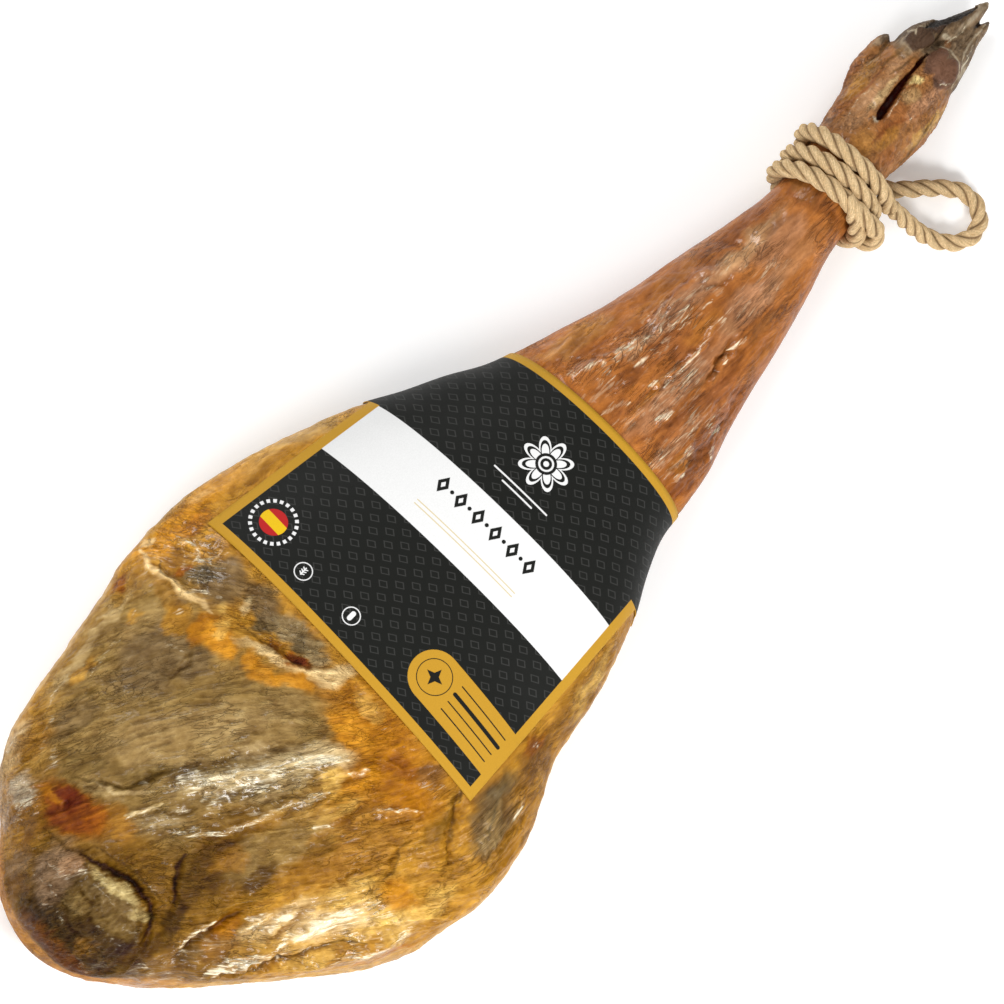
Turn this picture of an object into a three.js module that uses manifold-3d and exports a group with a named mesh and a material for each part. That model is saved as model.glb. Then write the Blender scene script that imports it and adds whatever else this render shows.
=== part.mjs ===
// Serrano ham shoulder lying on its rind with the meat face up.
// Millimetres. +X runs from the butt to the toes, +Y across, +Z up, and the floor is z = 0.
// The origin is below the middle of the ham's box.
import * as THREE from 'three';
import { mergeVertices } from 'three/addons/utils/BufferGeometryUtils.js';
import Module from 'manifold-3d';

const wasm = await Module();
wasm.setup();

// Driving dimensions
const BUTT_X = -355;            // outermost point of the butt
const FOOT_END_X = 322;         // where the foot's own loft closes inside the toes
const LABEL_BUTT_X = -149;      // label's edge on the meat face
const LABEL_NECK_X = 41;        // label's edge round the neck
const LABEL_GAP = 0.35;         // air between ham and label
const LABEL_THICK = 0.6;        // card
const ROPE_D = 8.8;             // wound turns
const ROPE_GAP = 0.7;           // air between shank and rope
const LOOP_D = 9.2;             // free loop, not squeezed by neighbours
const TOUCH_GAP = 0.3;          // between the wound rope and its loop
const DEG = Math.PI / 180;

// Resolution of the ham's loft
const TOP_SIDES = 38;
const BOTTOM_SIDES = 24;
const SIDES = TOP_SIDES + BOTTOM_SIDES;

// Outline of the ham at each station: x, far side y, near side y, lowest z, highest z, z of widest
const STATIONS = [
  [-355, 21, 21, 36, 36, 36],
  [-344, 53.4, -11.4, 17, 56, 38],
  [-323, 73.4, -38.2, 7, 71.5, 40],
  [-303, 93.4, -57.2, 3, 78.5, 41],
  [-282, 105.5, -75.2, 0.5, 82.5, 42],
  [-261, 110.3, -92, -0.7, 85, 42],
  [-241, 113.3, -106.8, -1, 86.5, 42],
  [-220, 116.9, -116.7, -1, 87.5, 42],
  [-199, 120.6, -121, -1, 88, 42],
  [-179, 125, -124.8, -1, 88, 42],
  [-158, 126.1, -124.4, -1, 88, 42],
  [-137, 126.2, -120, -1, 88, 42],
  [-116, 122.7, -111, -0.7, 88, 42],
  [-96, 117.8, -101.5, 0, 87.5, 42],
  [-75, 111, -97.9, 1, 87, 42],
  [-54, 102.9, -93.9, 2, 86.5, 42],
  [-34, 94.7, -88.1, 3, 85.5, 42],
  [-13, 83.4, -79.8, 4, 84, 41],
  [8, 73.4, -69, 5, 82, 41],
  [28, 62.4, -61.4, 6, 80, 40],
  [49, 55, -59.2, 7, 77.5, 39],
  [70, 48.6, -55.9, 8, 74.5, 38],
  [91, 41.9, -49.4, 9, 71.5, 37],
  [111, 37, -44.3, 10, 68.5, 37],
  [132, 33.1, -39.9, 11, 65.5, 36],
  [153, 28.9, -35.2, 12, 62.5, 36],
  [174, 24.7, -29.7, 13, 59.5, 36],
  [196, 21.2, -23.2, 13.7, 57, 35],
  [215, 21, -20.5, 14, 56, 35],
  [235, 24, -18, 14, 56, 35],
  [249, 27.5, -16.5, 12, 54.5, 33],
  [258, 29, -17.3, 9, 52, 30],
  [268, 31, -18, 5, 49.5, 27],
  [279, 32, -17.7, 1.5, 47, 24],
  [289, 32, -16.3, 0, 45, 22],
  [299, 31, -13.5, 0, 42.5, 21],
  [309, 28, -9, 2, 38, 20],
  [317, 22, -2, 7, 31, 19],
  [322, 9, 9, 18, 18, 18],
];

// Relief of the meat face and shank: a crest or groove along a run of points, its height and width
const RELIEF = [
  { what: 'shoulder knob', height: 9, width: 30, run: [[-331, 14]] },
  { what: 'knob crease', height: -5.5, width: 7, run: [[-312, 38], [-306, 16], [-305, -6], [-313, -17]] },
  { what: 'red hollow', height: -4, width: 14, run: [[-297, 60]] },
  { what: 'upper muscle crest', height: 3.5, width: 9, run: [[-261, 28], [-232, 8], [-186, -22]] },
  { what: 'lower muscle crest', height: 2.5, width: 7, run: [[-276, 12], [-244, -12], [-213, -23]] },
  { what: 'seam under the muscle', height: -2.5, width: 6, run: [[-310, -33], [-282, -39], [-244, -46]] },
  { what: 'short groove', height: -2.5, width: 5, run: [[-302, -12], [-284, -2]] },
  { what: 'long fat fold', height: 3.5, width: 8, run: [[-308, -48], [-273, -60], [-232, -78], [-216, -92]] },
  { what: 'short fat fold', height: 3, width: 7, run: [[-304, -64], [-273, -80], [-232, -102]] },
  { what: 'blade bone edge', height: 2.5, width: 7, run: [[-178, 120], [-183, 84], [-176, 50], [-150, -4]] },
  { what: 'hollow by the blade', height: -3.5, width: 11, run: [[-160, 58], [-156, 34]] },
  { what: 'shank groove', height: -1.6, width: 5, run: [[54, -26], [90, -24], [120, -21]] },
  { what: 'shank tendon', height: 1.6, width: 8, run: [[48, 26], [90, 17], [150, 9]] },
];

// Toes and dewclaw: x, y and z of the middle, half width, half height
const LONG_TOE = [
  [284, 18, 22, 0, 0], [292, 19, 22, 8, 16], [310, 20.8, 20, 8.4, 20], [318, 20, 19, 8.2, 18],
  [326, 15.4, 18, 9.2, 15], [336, 11.8, 17, 6.8, 11], [346, 9.2, 16, 3.9, 6.5], [352, 8.4, 15.5, 1.8, 2.6],
  [355, 8.2, 15.4, 0, 0],
];
const SHORT_TOE = [
  [282, 1, 22, 0, 0], [290, 1, 22, 11, 17], [310, 1, 20, 11.2, 19], [318, 1.2, 19, 9.4, 17.5],
  [326, -0.6, 17.5, 5.8, 14], [336, 0.9, 16, 3.5, 9.5], [343, 1.1, 15.5, 2.3, 5.5], [348, 1.2, 15.3, 0, 0],
];
const DEWCLAW = [
  [266, 26, 24, 0, 0], [274, 28.5, 23, 5.5, 8], [285, 31.3, 22, 5.8, 7.5], [296, 32.6, 21.5, 4.6, 6],
  [303, 33.2, 21.5, 3.2, 4.2], [307.5, 33.5, 21.5, 0, 0],
];
const HEEL_PADS = [
  { x: 314, y: 20.5, z: 35, radii: [8, 6.5, 5] },
  { x: 308, y: 2, z: 36, radii: [9.5, 9, 5] },
];

// Slit in the skin over the foot: x, y, half width
const SLIT = [[259, 7.4, 1.6], [264, 8, 2.1], [285, 10.4, 1.9], [300, 11.8, 1.1], [311, 12.8, 0.6]];
const SLIT_BOTTOM_Z = 37;

// Label outline seen from above, and the part that goes on under the neck
const LABEL_PLAN = [
  [-140, 107.5], [-31, 91.5], [-31, 150], [LABEL_NECK_X, 150], [LABEL_NECK_X, -150], [-12, -150],
  [-12, -77], [LABEL_BUTT_X - 1.5, -85],
];
const LABEL_BAND = [[-31, 150], [LABEL_NECK_X, 150], [LABEL_NECK_X, -150], [-12, -150]];
const LABEL_SPLIT_Z = 41;

// Wound rope: angle from the top over the near side, x, lift above the shank.
// It starts as a tucked end, makes turn 1, hangs out as a bight, then makes turns 2 and 3.
const TURNS = [
  [-298, 211.8, 0], [-270, 210.8, 0], [-225, 209.8, 0], [-180, 209.4, 0], [-135, 209.4, 0], [-90, 209.8, 0],
  [-60, 211.6, 0], [-30, 214.4, 0], [0, 216.7, 0], [25, 217.8, 1], [45, 218.6, 4], [65, 220, 8.4],
];
const BIGHT = [[223.6, -31.5, 39], [222.6, -34.8, 30.5], [219.6, -31.4, 21.5]];
const TURNS_ON = [
  [140, 219.4, 0.4], [180, 219.2, 0], [225, 220, 0], [270, 220.8, 0], [315, 223.4, 0], [360, 225.9, 0],
  [405, 227.4, 0], [450, 228.4, 0], [495, 229.4, 0], [540, 231, 0], [585, 232.8, 0], [630, 234.2, 0],
  [675, 235, 0], [720, 235.6, 0], [760, 236.8, 0], [790, 237.4, 1],
];
const EXIT = [238.4, -29, 34.6];

// Free loop of the rope, from the turns out over the floor and back under the foot
const LOOP = [
  EXIT, [240.8, -36.2, 27], [243.8, -43.6, 17.6], [247.4, -51.4, 9.4], [252.5, -60, 5.6], [259, -66, 4.9],
  [266.4, -68.4, 4.8], [274, -66, 4.8], [279, -59, 4.8], [279.2, -50.6, 5], [274.6, -43, 6.2],
  [266.5, -35.4, 8.8], [257.6, -28, 11], [250.6, -20.8, 10.6], [247.6, -14.6, 9],
];

// Smooth curve through table rows. The rows are spaced by the square root of the distance from
// the first one, which rounds the butt as it closes.
function tableAt(rows, x) {
  const reach = (value) => Math.sqrt(Math.max(value - rows[0][0], 0));
  const last = rows.length - 1;
  let i = 0;
  while (i < last - 1 && x > rows[i + 1][0]) i += 1;
  const slope = (k, column) => {
    const a = Math.max(k - 1, 0);
    const b = Math.min(k + 1, last);
    return (rows[b][column] - rows[a][column]) / (reach(rows[b][0]) - reach(rows[a][0]));
  };
  const span = reach(rows[i + 1][0]) - reach(rows[i][0]);
  const t = Math.min((reach(x) - reach(rows[i][0])) / span, 1);
  const h01 = t * t * (3 - 2 * t);
  const h10 = t * (1 - t) * (1 - t);
  const h11 = t * t * (t - 1);
  return rows[i].slice(1).map((value, k) => value + (rows[i + 1][k + 1] - value) * h01
    + span * (h10 * slope(i, k + 1) + h11 * slope(i + 1, k + 1)));
}

const bend = (value, exponent) => Math.sign(value) * Math.abs(value) ** exponent;

// Point of the plain section at an angle that starts at +Y and turns through +Z
function sectionPoint(x, angle) {
  const [far, near, low, high, middle] = tableAt(STATIONS, x);
  const flat = THREE.MathUtils.smoothstep(-x, -60, 120);
  const power = angle % (2 * Math.PI) < Math.PI ? 2 / (2.05 + 0.2 * flat) : 2 / 1.95;
  const height = angle % (2 * Math.PI) < Math.PI ? high - middle : middle - low;
  const y = (far + near) / 2 + ((far - near) / 2) * bend(Math.cos(angle), power);
  const z = middle + height * bend(Math.sin(angle), power);
  return new THREE.Vector3(x, y, z);
}

function distanceToRun(x, y, run) {
  let nearest = Math.hypot(x - run[0][0], y - run[0][1]);
  for (let i = 1; i < run.length; i += 1) {
    const [ax, ay] = run[i - 1];
    const [dx, dy] = [run[i][0] - ax, run[i][1] - ay];
    const t = THREE.MathUtils.clamp(((x - ax) * dx + (y - ay) * dy) / (dx * dx + dy * dy), 0, 1);
    nearest = Math.min(nearest, Math.hypot(x - ax - t * dx, y - ay - t * dy));
  }
  return nearest;
}

function reliefAt(x, y) {
  return RELIEF.reduce((sum, { run, height, width }) => {
    const d = distanceToRun(x, y, run) / width;
    return sum + height * Math.exp(-d * d);
  }, 0);
}

// Point of the ham's skin, with the relief on its upper side and an extra offset outwards
function skinPoint(x, angle, offset = 0) {
  const step = 0.01;
  const point = sectionPoint(x, angle);
  const along = sectionPoint(x + step, angle).sub(sectionPoint(x - step, angle));
  const round = sectionPoint(x, angle + step).sub(sectionPoint(x, angle - step));
  const normal = round.cross(along).normalize();
  const upper = THREE.MathUtils.smoothstep(normal.z, 0.1, 0.6);
  return point.addScaledVector(normal, offset + upper * reliefAt(point.x, point.y));
}

// Stations along the ham, closer where the relief is and on the round butt
function stationList() {
  const stretches = [[-344, -150, 22], [-150, 50, 11], [50, 200, 9], [200, 250, 5], [250, FOOT_END_X, 9]];
  const list = [0, 0.15, 0.35, 0.6, 0.82].map((t) => BUTT_X + (stretches[0][0] - BUTT_X) * t * t);
  stretches.forEach(([from, to, count]) => {
    for (let i = 0; i < count; i += 1) list.push(from + ((to - from) * i) / count);
  });
  return [...list, FOOT_END_X];
}

function sideAngle(fraction) {
  const split = TOP_SIDES / SIDES;
  return fraction <= split ? (Math.PI * fraction) / split
    : Math.PI + (Math.PI * (fraction - split)) / (1 - split);
}

// A sphere's grid, its poles at the two ends of the list, moved onto the wanted surface
function loft(sides, list, place) {
  const geometry = new THREE.SphereGeometry(1, sides, list.length - 1);
  const position = geometry.attributes.position;
  for (let i = 0; i < position.count; i += 1) {
    const row = Math.floor(i / (sides + 1));
    const turn = (i % (sides + 1)) % sides;
    const point = place(list[list.length - 1 - row], turn / sides);
    position.setXYZ(i, point.x, point.y, point.z);
  }
  return geometry;
}

function hamLoft(list, offset) {
  return loft(SIDES, list, (x, fraction) => skinPoint(x, sideAngle(fraction), offset));
}

// A short loft round a bent middle line: toes and dewclaw
function toeLoft(rows, sides = 14, steps = 13) {
  const [from, to] = [rows[0][0], rows[rows.length - 1][0]];
  const list = Array.from({ length: steps }, (_, i) => {
    const t = (1 - Math.cos((Math.PI * i) / (steps - 1))) / 2;
    return from + (to - from) * t;
  });
  return loft(sides, list, (x, fraction) => {
    const [y, z, half, tall] = tableAt(rows, x);
    const shut = x === from || x === to ? 0 : 1;
    const angle = 2 * Math.PI * fraction;
    return new THREE.Vector3(x, y + shut * half * Math.cos(angle), z + shut * tall * Math.sin(angle));
  });
}

function heelPad({ x, y, z, radii }) {
  return new THREE.SphereGeometry(1, 14, 9).scale(...radii).translate(x, y, z);
}

function prism(outline, low, high) {
  const shape = new THREE.Shape(outline.map(([x, y]) => new THREE.Vector2(x, y)));
  return new THREE.ExtrudeGeometry(shape, { depth: high - low, bevelEnabled: false }).translate(0, 0, low);
}

function slitPrism() {
  const upper = SLIT.map(([x, y, half]) => [x, y + half]);
  const lower = SLIT.map(([x, y, half]) => [x, y - half]).reverse();
  return prism([...lower, ...upper], SLIT_BOTTOM_Z, 80);
}

function solid(geometry) {
  const bare = geometry.clone();
  bare.deleteAttribute('normal');
  bare.deleteAttribute('uv');
  const merged = mergeVertices(bare, 1e-4);
  const kept = [];
  const index = merged.index.array;
  for (let i = 0; i < index.length; i += 3) {
    const [a, b, c] = index.slice(i, i + 3);
    if (a !== b && b !== c && c !== a) kept.push(a, b, c);
  }
  const mesh = new wasm.Mesh({
    numProp: 3,
    vertProperties: new Float32Array(merged.attributes.position.array),
    triVerts: new Uint32Array(kept),
  });
  return new wasm.Manifold(mesh);
}

function toGeometry(manifold) {
  const mesh = manifold.getMesh();
  const geometry = new THREE.BufferGeometry();
  geometry.setAttribute('position', new THREE.BufferAttribute(new Float32Array(mesh.vertProperties), 3));
  geometry.setIndex(new THREE.BufferAttribute(new Uint32Array(mesh.triVerts), 1));
  return geometry;
}

function buildHam() {
  const body = solid(hamLoft(stationList(), 0));
  const parts = [toeLoft(LONG_TOE), toeLoft(SHORT_TOE), toeLoft(DEWCLAW, 12, 9), ...HEEL_PADS.map(heelPad)];
  const whole = parts.reduce((sum, part) => sum.add(solid(part)), body);
  const floor = solid(new THREE.BoxGeometry(900, 400, 60).translate(0, 0, -30));
  return whole.subtract(solid(slitPrism())).subtract(floor);
}

function buildLabel() {
  const list = stationList().filter((x) => x > LABEL_BUTT_X - 40 && x < LABEL_NECK_X + 40);
  const ends = [list[0] - 1, ...list, list[list.length - 1] + 1];
  const sleeve = (offset, pull) => solid(loft(SIDES, ends, (x, fraction) => {
    const inside = THREE.MathUtils.clamp(x, list[0], list[list.length - 1]);
    if (x === inside) return skinPoint(x, sideAngle(fraction), offset);
    const [far, near, low, high] = tableAt(STATIONS, inside);
    return new THREE.Vector3(x + Math.sign(x - inside) * pull, (far + near) / 2, (low + high) / 2);
  }));
  const shell = sleeve(LABEL_GAP + LABEL_THICK, 0).subtract(sleeve(LABEL_GAP, 5));
  const cut = solid(prism(LABEL_PLAN, LABEL_SPLIT_Z, 200)).add(solid(prism(LABEL_BAND, -20, LABEL_SPLIT_Z)));
  return shell.intersect(cut);
}

// Rows between the given ones, so that the rope keeps close to the round shank
function finer(rows, parts = 3) {
  return rows.slice(1).flatMap((row, i) => Array.from({ length: parts }, (_, k) => {
    const t = (k + 1) / parts;
    return row.map((value, column) => rows[i][column] + (value - rows[i][column]) * t);
  }));
}

// Middle of the wound rope over the shank at an angle from the top over the near side
function onShank([degrees, x, lift]) {
  const angle = (((90 + degrees) % 360) + 360) % 360 * DEG;
  const step = 0.02;
  const point = sectionPoint(x, angle);
  const tangent = sectionPoint(x, angle + step).sub(sectionPoint(x, angle - step + 2 * Math.PI));
  const out = new THREE.Vector3(0, tangent.z, -tangent.y).normalize();
  return point.addScaledVector(out, ROPE_D / 2 + ROPE_GAP + lift);
}

function roundShape(diameter, sides) {
  const points = Array.from({ length: sides }, (_, i) => {
    const angle = (2 * Math.PI * i) / sides;
    return new THREE.Vector2(Math.cos(angle), Math.sin(angle)).multiplyScalar(diameter / 2);
  });
  return new THREE.Shape(points);
}

function tube(points, diameter, sides, steps) {
  const path = new THREE.CatmullRomCurve3(points, false, 'centripetal');
  return new THREE.ExtrudeGeometry(roundShape(diameter, sides), { steps, extrudePath: path });
}

function buildTurns() {
  const exit = new THREE.Vector3(...EXIT);
  const lead = new THREE.Vector3(...LOOP[1]).sub(exit).normalize();
  const bight = BIGHT.map((p) => new THREE.Vector3(...p));
  const end = [TOUCH_GAP + 4, TOUCH_GAP].map((back) => exit.clone().addScaledVector(lead, -back));
  const points = [onShank(TURNS[0]), ...finer(TURNS).map(onShank), ...bight, onShank(TURNS_ON[0]),
    ...finer(TURNS_ON).map(onShank), ...end];
  return tube(points, ROPE_D, 8, 84);
}

function buildLoop() {
  return tube(LOOP.map((p) => new THREE.Vector3(...p)), LOOP_D, 10, 18);
}

function piece(name, geometry, color, roughness) {
  const mesh = new THREE.Mesh(geometry, new THREE.MeshStandardMaterial({ color, roughness, metalness: 0 }));
  mesh.name = name;
  return mesh;
}

const shoulder = new THREE.Group();
shoulder.add(piece('ham', toGeometry(buildHam()), 0xa8763a, 0.4));
shoulder.add(piece('label', toGeometry(buildLabel()), 0x1c1c1a, 0.5));
shoulder.add(piece('rope_turns', buildTurns(), 0xc9a877, 0.9));
shoulder.add(piece('rope_loop', buildLoop(), 0xc9a877, 0.9));

// The box's middle goes over the origin
const middle = new THREE.Box3().setFromObject(shoulder).getCenter(new THREE.Vector3());
shoulder.position.set(-middle.x, -middle.y, 0);

export default shoulder;
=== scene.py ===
"""Serrano ham shoulder lying on its rind, with its card label, laid rope and hanging loop.

Lengths in the tables are millimetres in the solids' own drawing frame, which differs from the
row frame by a small shift. Meshes are made in metres in the row frame.
Places on the meat face are given as (a, b): millimetres along and across the ham as the camera
sees it, that is in a plane that leans towards the butt by LEAN.
"""

import math

import bmesh
import bpy
import numpy as np
from mathutils import Matrix, Vector


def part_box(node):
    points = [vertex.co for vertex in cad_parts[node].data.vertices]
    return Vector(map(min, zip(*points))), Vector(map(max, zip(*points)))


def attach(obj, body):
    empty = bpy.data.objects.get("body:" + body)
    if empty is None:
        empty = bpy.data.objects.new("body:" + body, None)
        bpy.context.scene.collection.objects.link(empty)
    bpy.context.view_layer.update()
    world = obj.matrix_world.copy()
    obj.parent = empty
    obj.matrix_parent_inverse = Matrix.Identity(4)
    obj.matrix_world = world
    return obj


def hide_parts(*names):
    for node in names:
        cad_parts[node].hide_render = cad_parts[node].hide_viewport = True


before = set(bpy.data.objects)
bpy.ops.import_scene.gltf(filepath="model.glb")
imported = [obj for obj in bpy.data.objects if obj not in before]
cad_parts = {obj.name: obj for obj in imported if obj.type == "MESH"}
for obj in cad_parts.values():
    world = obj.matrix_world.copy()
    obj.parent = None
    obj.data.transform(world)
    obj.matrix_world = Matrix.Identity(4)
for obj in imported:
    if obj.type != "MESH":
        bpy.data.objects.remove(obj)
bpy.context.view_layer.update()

MM = 0.001
TOE_X = 355.0
LABEL_NEAR_Y = -85.0
SHIFT = np.array([TOE_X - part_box("ham")[1].x / MM, LABEL_NEAR_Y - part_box("label")[0].y / MM, 0.0])
LEAN = math.radians(15)
PLANE_X = 51.0                    # x that is a = 0 at floor height
ROLL = 45.8                       # the ham points up to the right in the picture, in degrees


# Frames

def plane_to_x(a, z):
    return (a - z * math.sin(LEAN)) / math.cos(LEAN) + PLANE_X


def row(points):
    """Drawing frame in millimetres to row frame in metres."""
    return (np.asarray(points, float) - SHIFT) * MM


# Camera

PICTURE = 1004                    # pixels
PLANE_SCALE = 0.506               # millimetres for each pixel of the picture
PLANE_ORIGIN_PX = (590, 436)      # pixel of (a, b) = (0, 0)
LENS, SENSOR = 1500.0, 36.0       # long, because the picture shows next to no perspective
AIM_Z = 45.0


def make_camera():
    turn = math.radians(ROLL)
    offset = np.array([PICTURE / 2 - PLANE_ORIGIN_PX[0], PLANE_ORIGIN_PX[1] - PICTURE / 2]) * PLANE_SCALE
    a = offset @ np.array([math.cos(turn), math.sin(turn)])
    b = offset @ np.array([-math.sin(turn), math.cos(turn)])
    aim = Vector(row([plane_to_x(a, AIM_Z), b, AIM_Z]))
    back = Vector((-math.sin(LEAN), 0, math.cos(LEAN)))
    along = Vector((math.cos(LEAN), 0, math.sin(LEAN)))
    across = Vector((0, 1, 0))
    right = along * math.cos(turn) - across * math.sin(turn)
    up = along * math.sin(turn) + across * math.cos(turn)
    data = bpy.data.cameras.new("camera")
    data.lens, data.sensor_width = LENS, SENSOR
    camera = bpy.data.objects.new("camera", data)
    bpy.context.collection.objects.link(camera)
    distance = PICTURE * PLANE_SCALE * MM * LENS / SENSOR
    axes = Matrix((right, up, back)).transposed().to_4x4()
    camera.matrix_world = Matrix.Translation(aim + back * distance) @ axes
    bpy.context.scene.camera = camera


# Smooth random fields

def noise_tables():
    draw = np.random.default_rng(7)
    gradient = draw.normal(size=(256, 3))
    gradient /= np.linalg.norm(gradient, axis=1, keepdims=True)
    return draw.permutation(256), gradient.astype(np.float32)


ORDER, GRADIENT = noise_tables()


def cell_noise(points, seed):
    """Gradient noise, about -1 to 1, one feature for each unit."""
    cell = np.floor(points).astype(np.int64)
    part = (points - cell).astype(np.float32)
    fade = part ** 3 * (part * (part * 6 - 15) + 10)
    total = np.zeros(len(points), np.float32)
    for i in (0, 1):
        first = ORDER[(cell[:, 0] + i + 37 * seed) & 255]
        weight_i = fade[:, 0] if i else 1 - fade[:, 0]
        for j in (0, 1):
            second = ORDER[(first + cell[:, 1] + j) & 255]
            weight_j = weight_i * (fade[:, 1] if j else 1 - fade[:, 1])
            for k in (0, 1):
                lean = GRADIENT[ORDER[(second + cell[:, 2] + k) & 255]]
                dot = (lean[:, 0] * (part[:, 0] - i) + lean[:, 1] * (part[:, 1] - j)
                       + lean[:, 2] * (part[:, 2] - k))
                total += dot * weight_j * (fade[:, 2] if k else 1 - fade[:, 2])
    return total * 1.6


def cloud(points, size, seed, octaves=3):
    """Layered noise of about -1 to 1 with features of that size. size is one number or three."""
    scaled = points / np.asarray(size, float)
    return sum(cell_noise(scaled * 2 ** k + 17 * k, seed + k) * 0.55 ** k for k in range(octaves))


def ridges(points, size, seed, octaves=2):
    """Sharp crests, 0 to 1."""
    scaled = points / np.asarray(size, float)
    return sum((1 - np.abs(cell_noise(scaled * 2 ** k + 9 * k, seed + k))) ** 3 * 0.5 ** k
               for k in range(octaves)) / sum(0.5 ** k for k in range(octaves))


def unit(vectors):
    return vectors / np.maximum(np.linalg.norm(vectors, axis=-1, keepdims=True), 1e-12)


def smooth_step(low, high, value):
    t = np.clip((value - low) / (high - low), 0, 1)
    return t * t * (3 - 2 * t)


def run_distance(a, b, run):
    """Distance from points to a run of straight pieces, and how far along it the nearest is, 0 to 1."""
    nearest = np.full(len(a), 1e9)
    place = np.zeros(len(a))
    pieces = max(len(run) - 1, 1)
    for i in range(pieces):
        (a0, b0), (a1, b1) = run[i], run[min(i + 1, len(run) - 1)]
        length = (a1 - a0) ** 2 + (b1 - b0) ** 2
        t = np.clip(((a - a0) * (a1 - a0) + (b - b0) * (b1 - b0)) / max(length, 1e-9), 0, 1)
        d = np.hypot(a - a0 - t * (a1 - a0), b - b0 - t * (b1 - b0))
        place = np.where(d < nearest, (i + t) / pieces, place)
        nearest = np.minimum(nearest, d)
    return nearest, place


# Form of the ham, from the same stations as its solid

# x, far side y, near side y, lowest z, highest z, z of widest
STATIONS = np.array([
    (-355, 21, 21, 36, 36, 36),
    (-344, 53.4, -11.4, 17, 56, 38),
    (-323, 73.4, -38.2, 7, 71.5, 40),
    (-303, 93.4, -57.2, 3, 78.5, 41),
    (-282, 105.5, -75.2, 0.5, 82.5, 42),
    (-261, 110.3, -92, -0.7, 85, 42),
    (-241, 113.3, -106.8, -1, 86.5, 42),
    (-220, 116.9, -116.7, -1, 87.5, 42),
    (-199, 120.6, -121, -1, 88, 42),
    (-179, 125, -124.8, -1, 88, 42),
    (-158, 126.1, -124.4, -1, 88, 42),
    (-137, 126.2, -120, -1, 88, 42),
    (-116, 122.7, -111, -0.7, 88, 42),
    (-96, 117.8, -101.5, 0, 87.5, 42),
    (-75, 111, -97.9, 1, 87, 42),
    (-54, 102.9, -93.9, 2, 86.5, 42),
    (-34, 94.7, -88.1, 3, 85.5, 42),
    (-13, 83.4, -79.8, 4, 84, 41),
    (8, 73.4, -69, 5, 82, 41),
    (28, 62.4, -61.4, 6, 80, 40),
    (49, 55, -59.2, 7, 77.5, 39),
    (70, 48.6, -55.9, 8, 74.5, 38),
    (91, 41.9, -49.4, 9, 71.5, 37),
    (111, 37, -44.3, 10, 68.5, 37),
    (132, 33.1, -39.9, 11, 65.5, 36),
    (153, 28.9, -35.2, 12, 62.5, 36),
    (174, 24.7, -29.7, 13, 59.5, 36),
    (196, 21.2, -23.2, 13.7, 57, 35),
    (215, 21, -20.5, 14, 56, 35),
    (235, 24, -18, 14, 56, 35),
    (249, 27.5, -16.5, 12, 54.5, 33),
    (258, 29, -17.3, 9, 52, 30),
    (268, 31, -18, 5, 49.5, 27),
    (279, 32, -17.7, 1.5, 47, 24),
    (289, 32, -16.3, 0, 45, 22),
    (299, 31, -13.5, 0, 42.5, 21),
    (309, 28, -9, 2, 38, 20),
    (317, 22, -2, 7, 31, 19),
    (322, 9, 9, 18, 18, 18),
], float)
LONG_TOE = np.array([
    (284, 18, 22, 0, 0), (292, 19, 22, 8, 16), (310, 20.8, 20, 8.4, 20), (318, 20, 19, 8.2, 18),
    (326, 15.4, 18, 9.2, 15), (336, 11.8, 17, 6.8, 11), (346, 9.2, 16, 3.9, 6.5), (352, 8.4, 15.5, 1.8, 2.6),
    (355, 8.2, 15.4, 0, 0)])
SHORT_TOE = np.array([
    (282, 1, 22, 0, 0), (290, 1, 22, 11, 17), (310, 1, 20, 11.2, 19), (318, 1.2, 19, 9.4, 17.5),
    (326, -0.6, 17.5, 5.8, 14), (336, 0.9, 16, 3.5, 9.5), (343, 1.1, 15.5, 2.3, 5.5), (348, 1.2, 15.3, 0, 0)])
DEWCLAW = np.array([
    (266, 26, 24, 0, 0), (274, 28.5, 23, 5.5, 8), (285, 31.3, 22, 5.8, 7.5), (296, 32.6, 21.5, 4.6, 6),
    (303, 33.2, 21.5, 3.2, 4.2), (307.5, 33.5, 21.5, 0, 0)])
HEEL_PADS = [((314, 20.5, 35), (8, 6.5, 5)), ((308, 2, 36), (9.5, 9, 5))]
TOE_WEB = np.array([
    (300, 6, 21, 0, 0), (306, 6, 21, 6, 16), (320, 6.5, 19, 6, 15), (330, 5.6, 17, 4.6, 12), (338, 5, 16, 2.4, 8),
    (342, 5, 15.6, 0, 0)])
SLIT = [(263, 7.4, 0.8), (265, 7.7, 2.1), (270, 8.6, 2.3), (284, 10.6, 1.9), (292, 11.6, 1.3), (296, 11.8, 0.7),
        (302, 12.0, 1.2), (309, 12.6, 0.3)]

# Coarse relief, the same as in the solid: height, width, run in x and y
SOLID_RELIEF = [
    (9, 30, [(-331, 14)]),
    (-5.5, 7, [(-312, 38), (-306, 16), (-305, -6), (-313, -17)]),
    (-4, 14, [(-297, 60)]),
    (3.5, 9, [(-261, 28), (-232, 8), (-186, -22)]),
    (2.5, 7, [(-276, 12), (-244, -12), (-213, -23)]),
    (-2.5, 6, [(-310, -33), (-282, -39), (-244, -46)]),
    (-2.5, 5, [(-302, -12), (-284, -2)]),
    (3.5, 8, [(-308, -48), (-273, -60), (-232, -78), (-216, -92)]),
    (3, 7, [(-304, -64), (-273, -80), (-232, -102)]),
    (2.5, 7, [(-178, 120), (-183, 84), (-176, 50), (-150, -4)]),
    (-3.5, 11, [(-160, 58), (-156, 34)]),
    (-1.6, 5, [(54, -26), (90, -24), (120, -21)]),
    (1.6, 8, [(48, 26), (90, 17), (150, 9)]),
]


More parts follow.
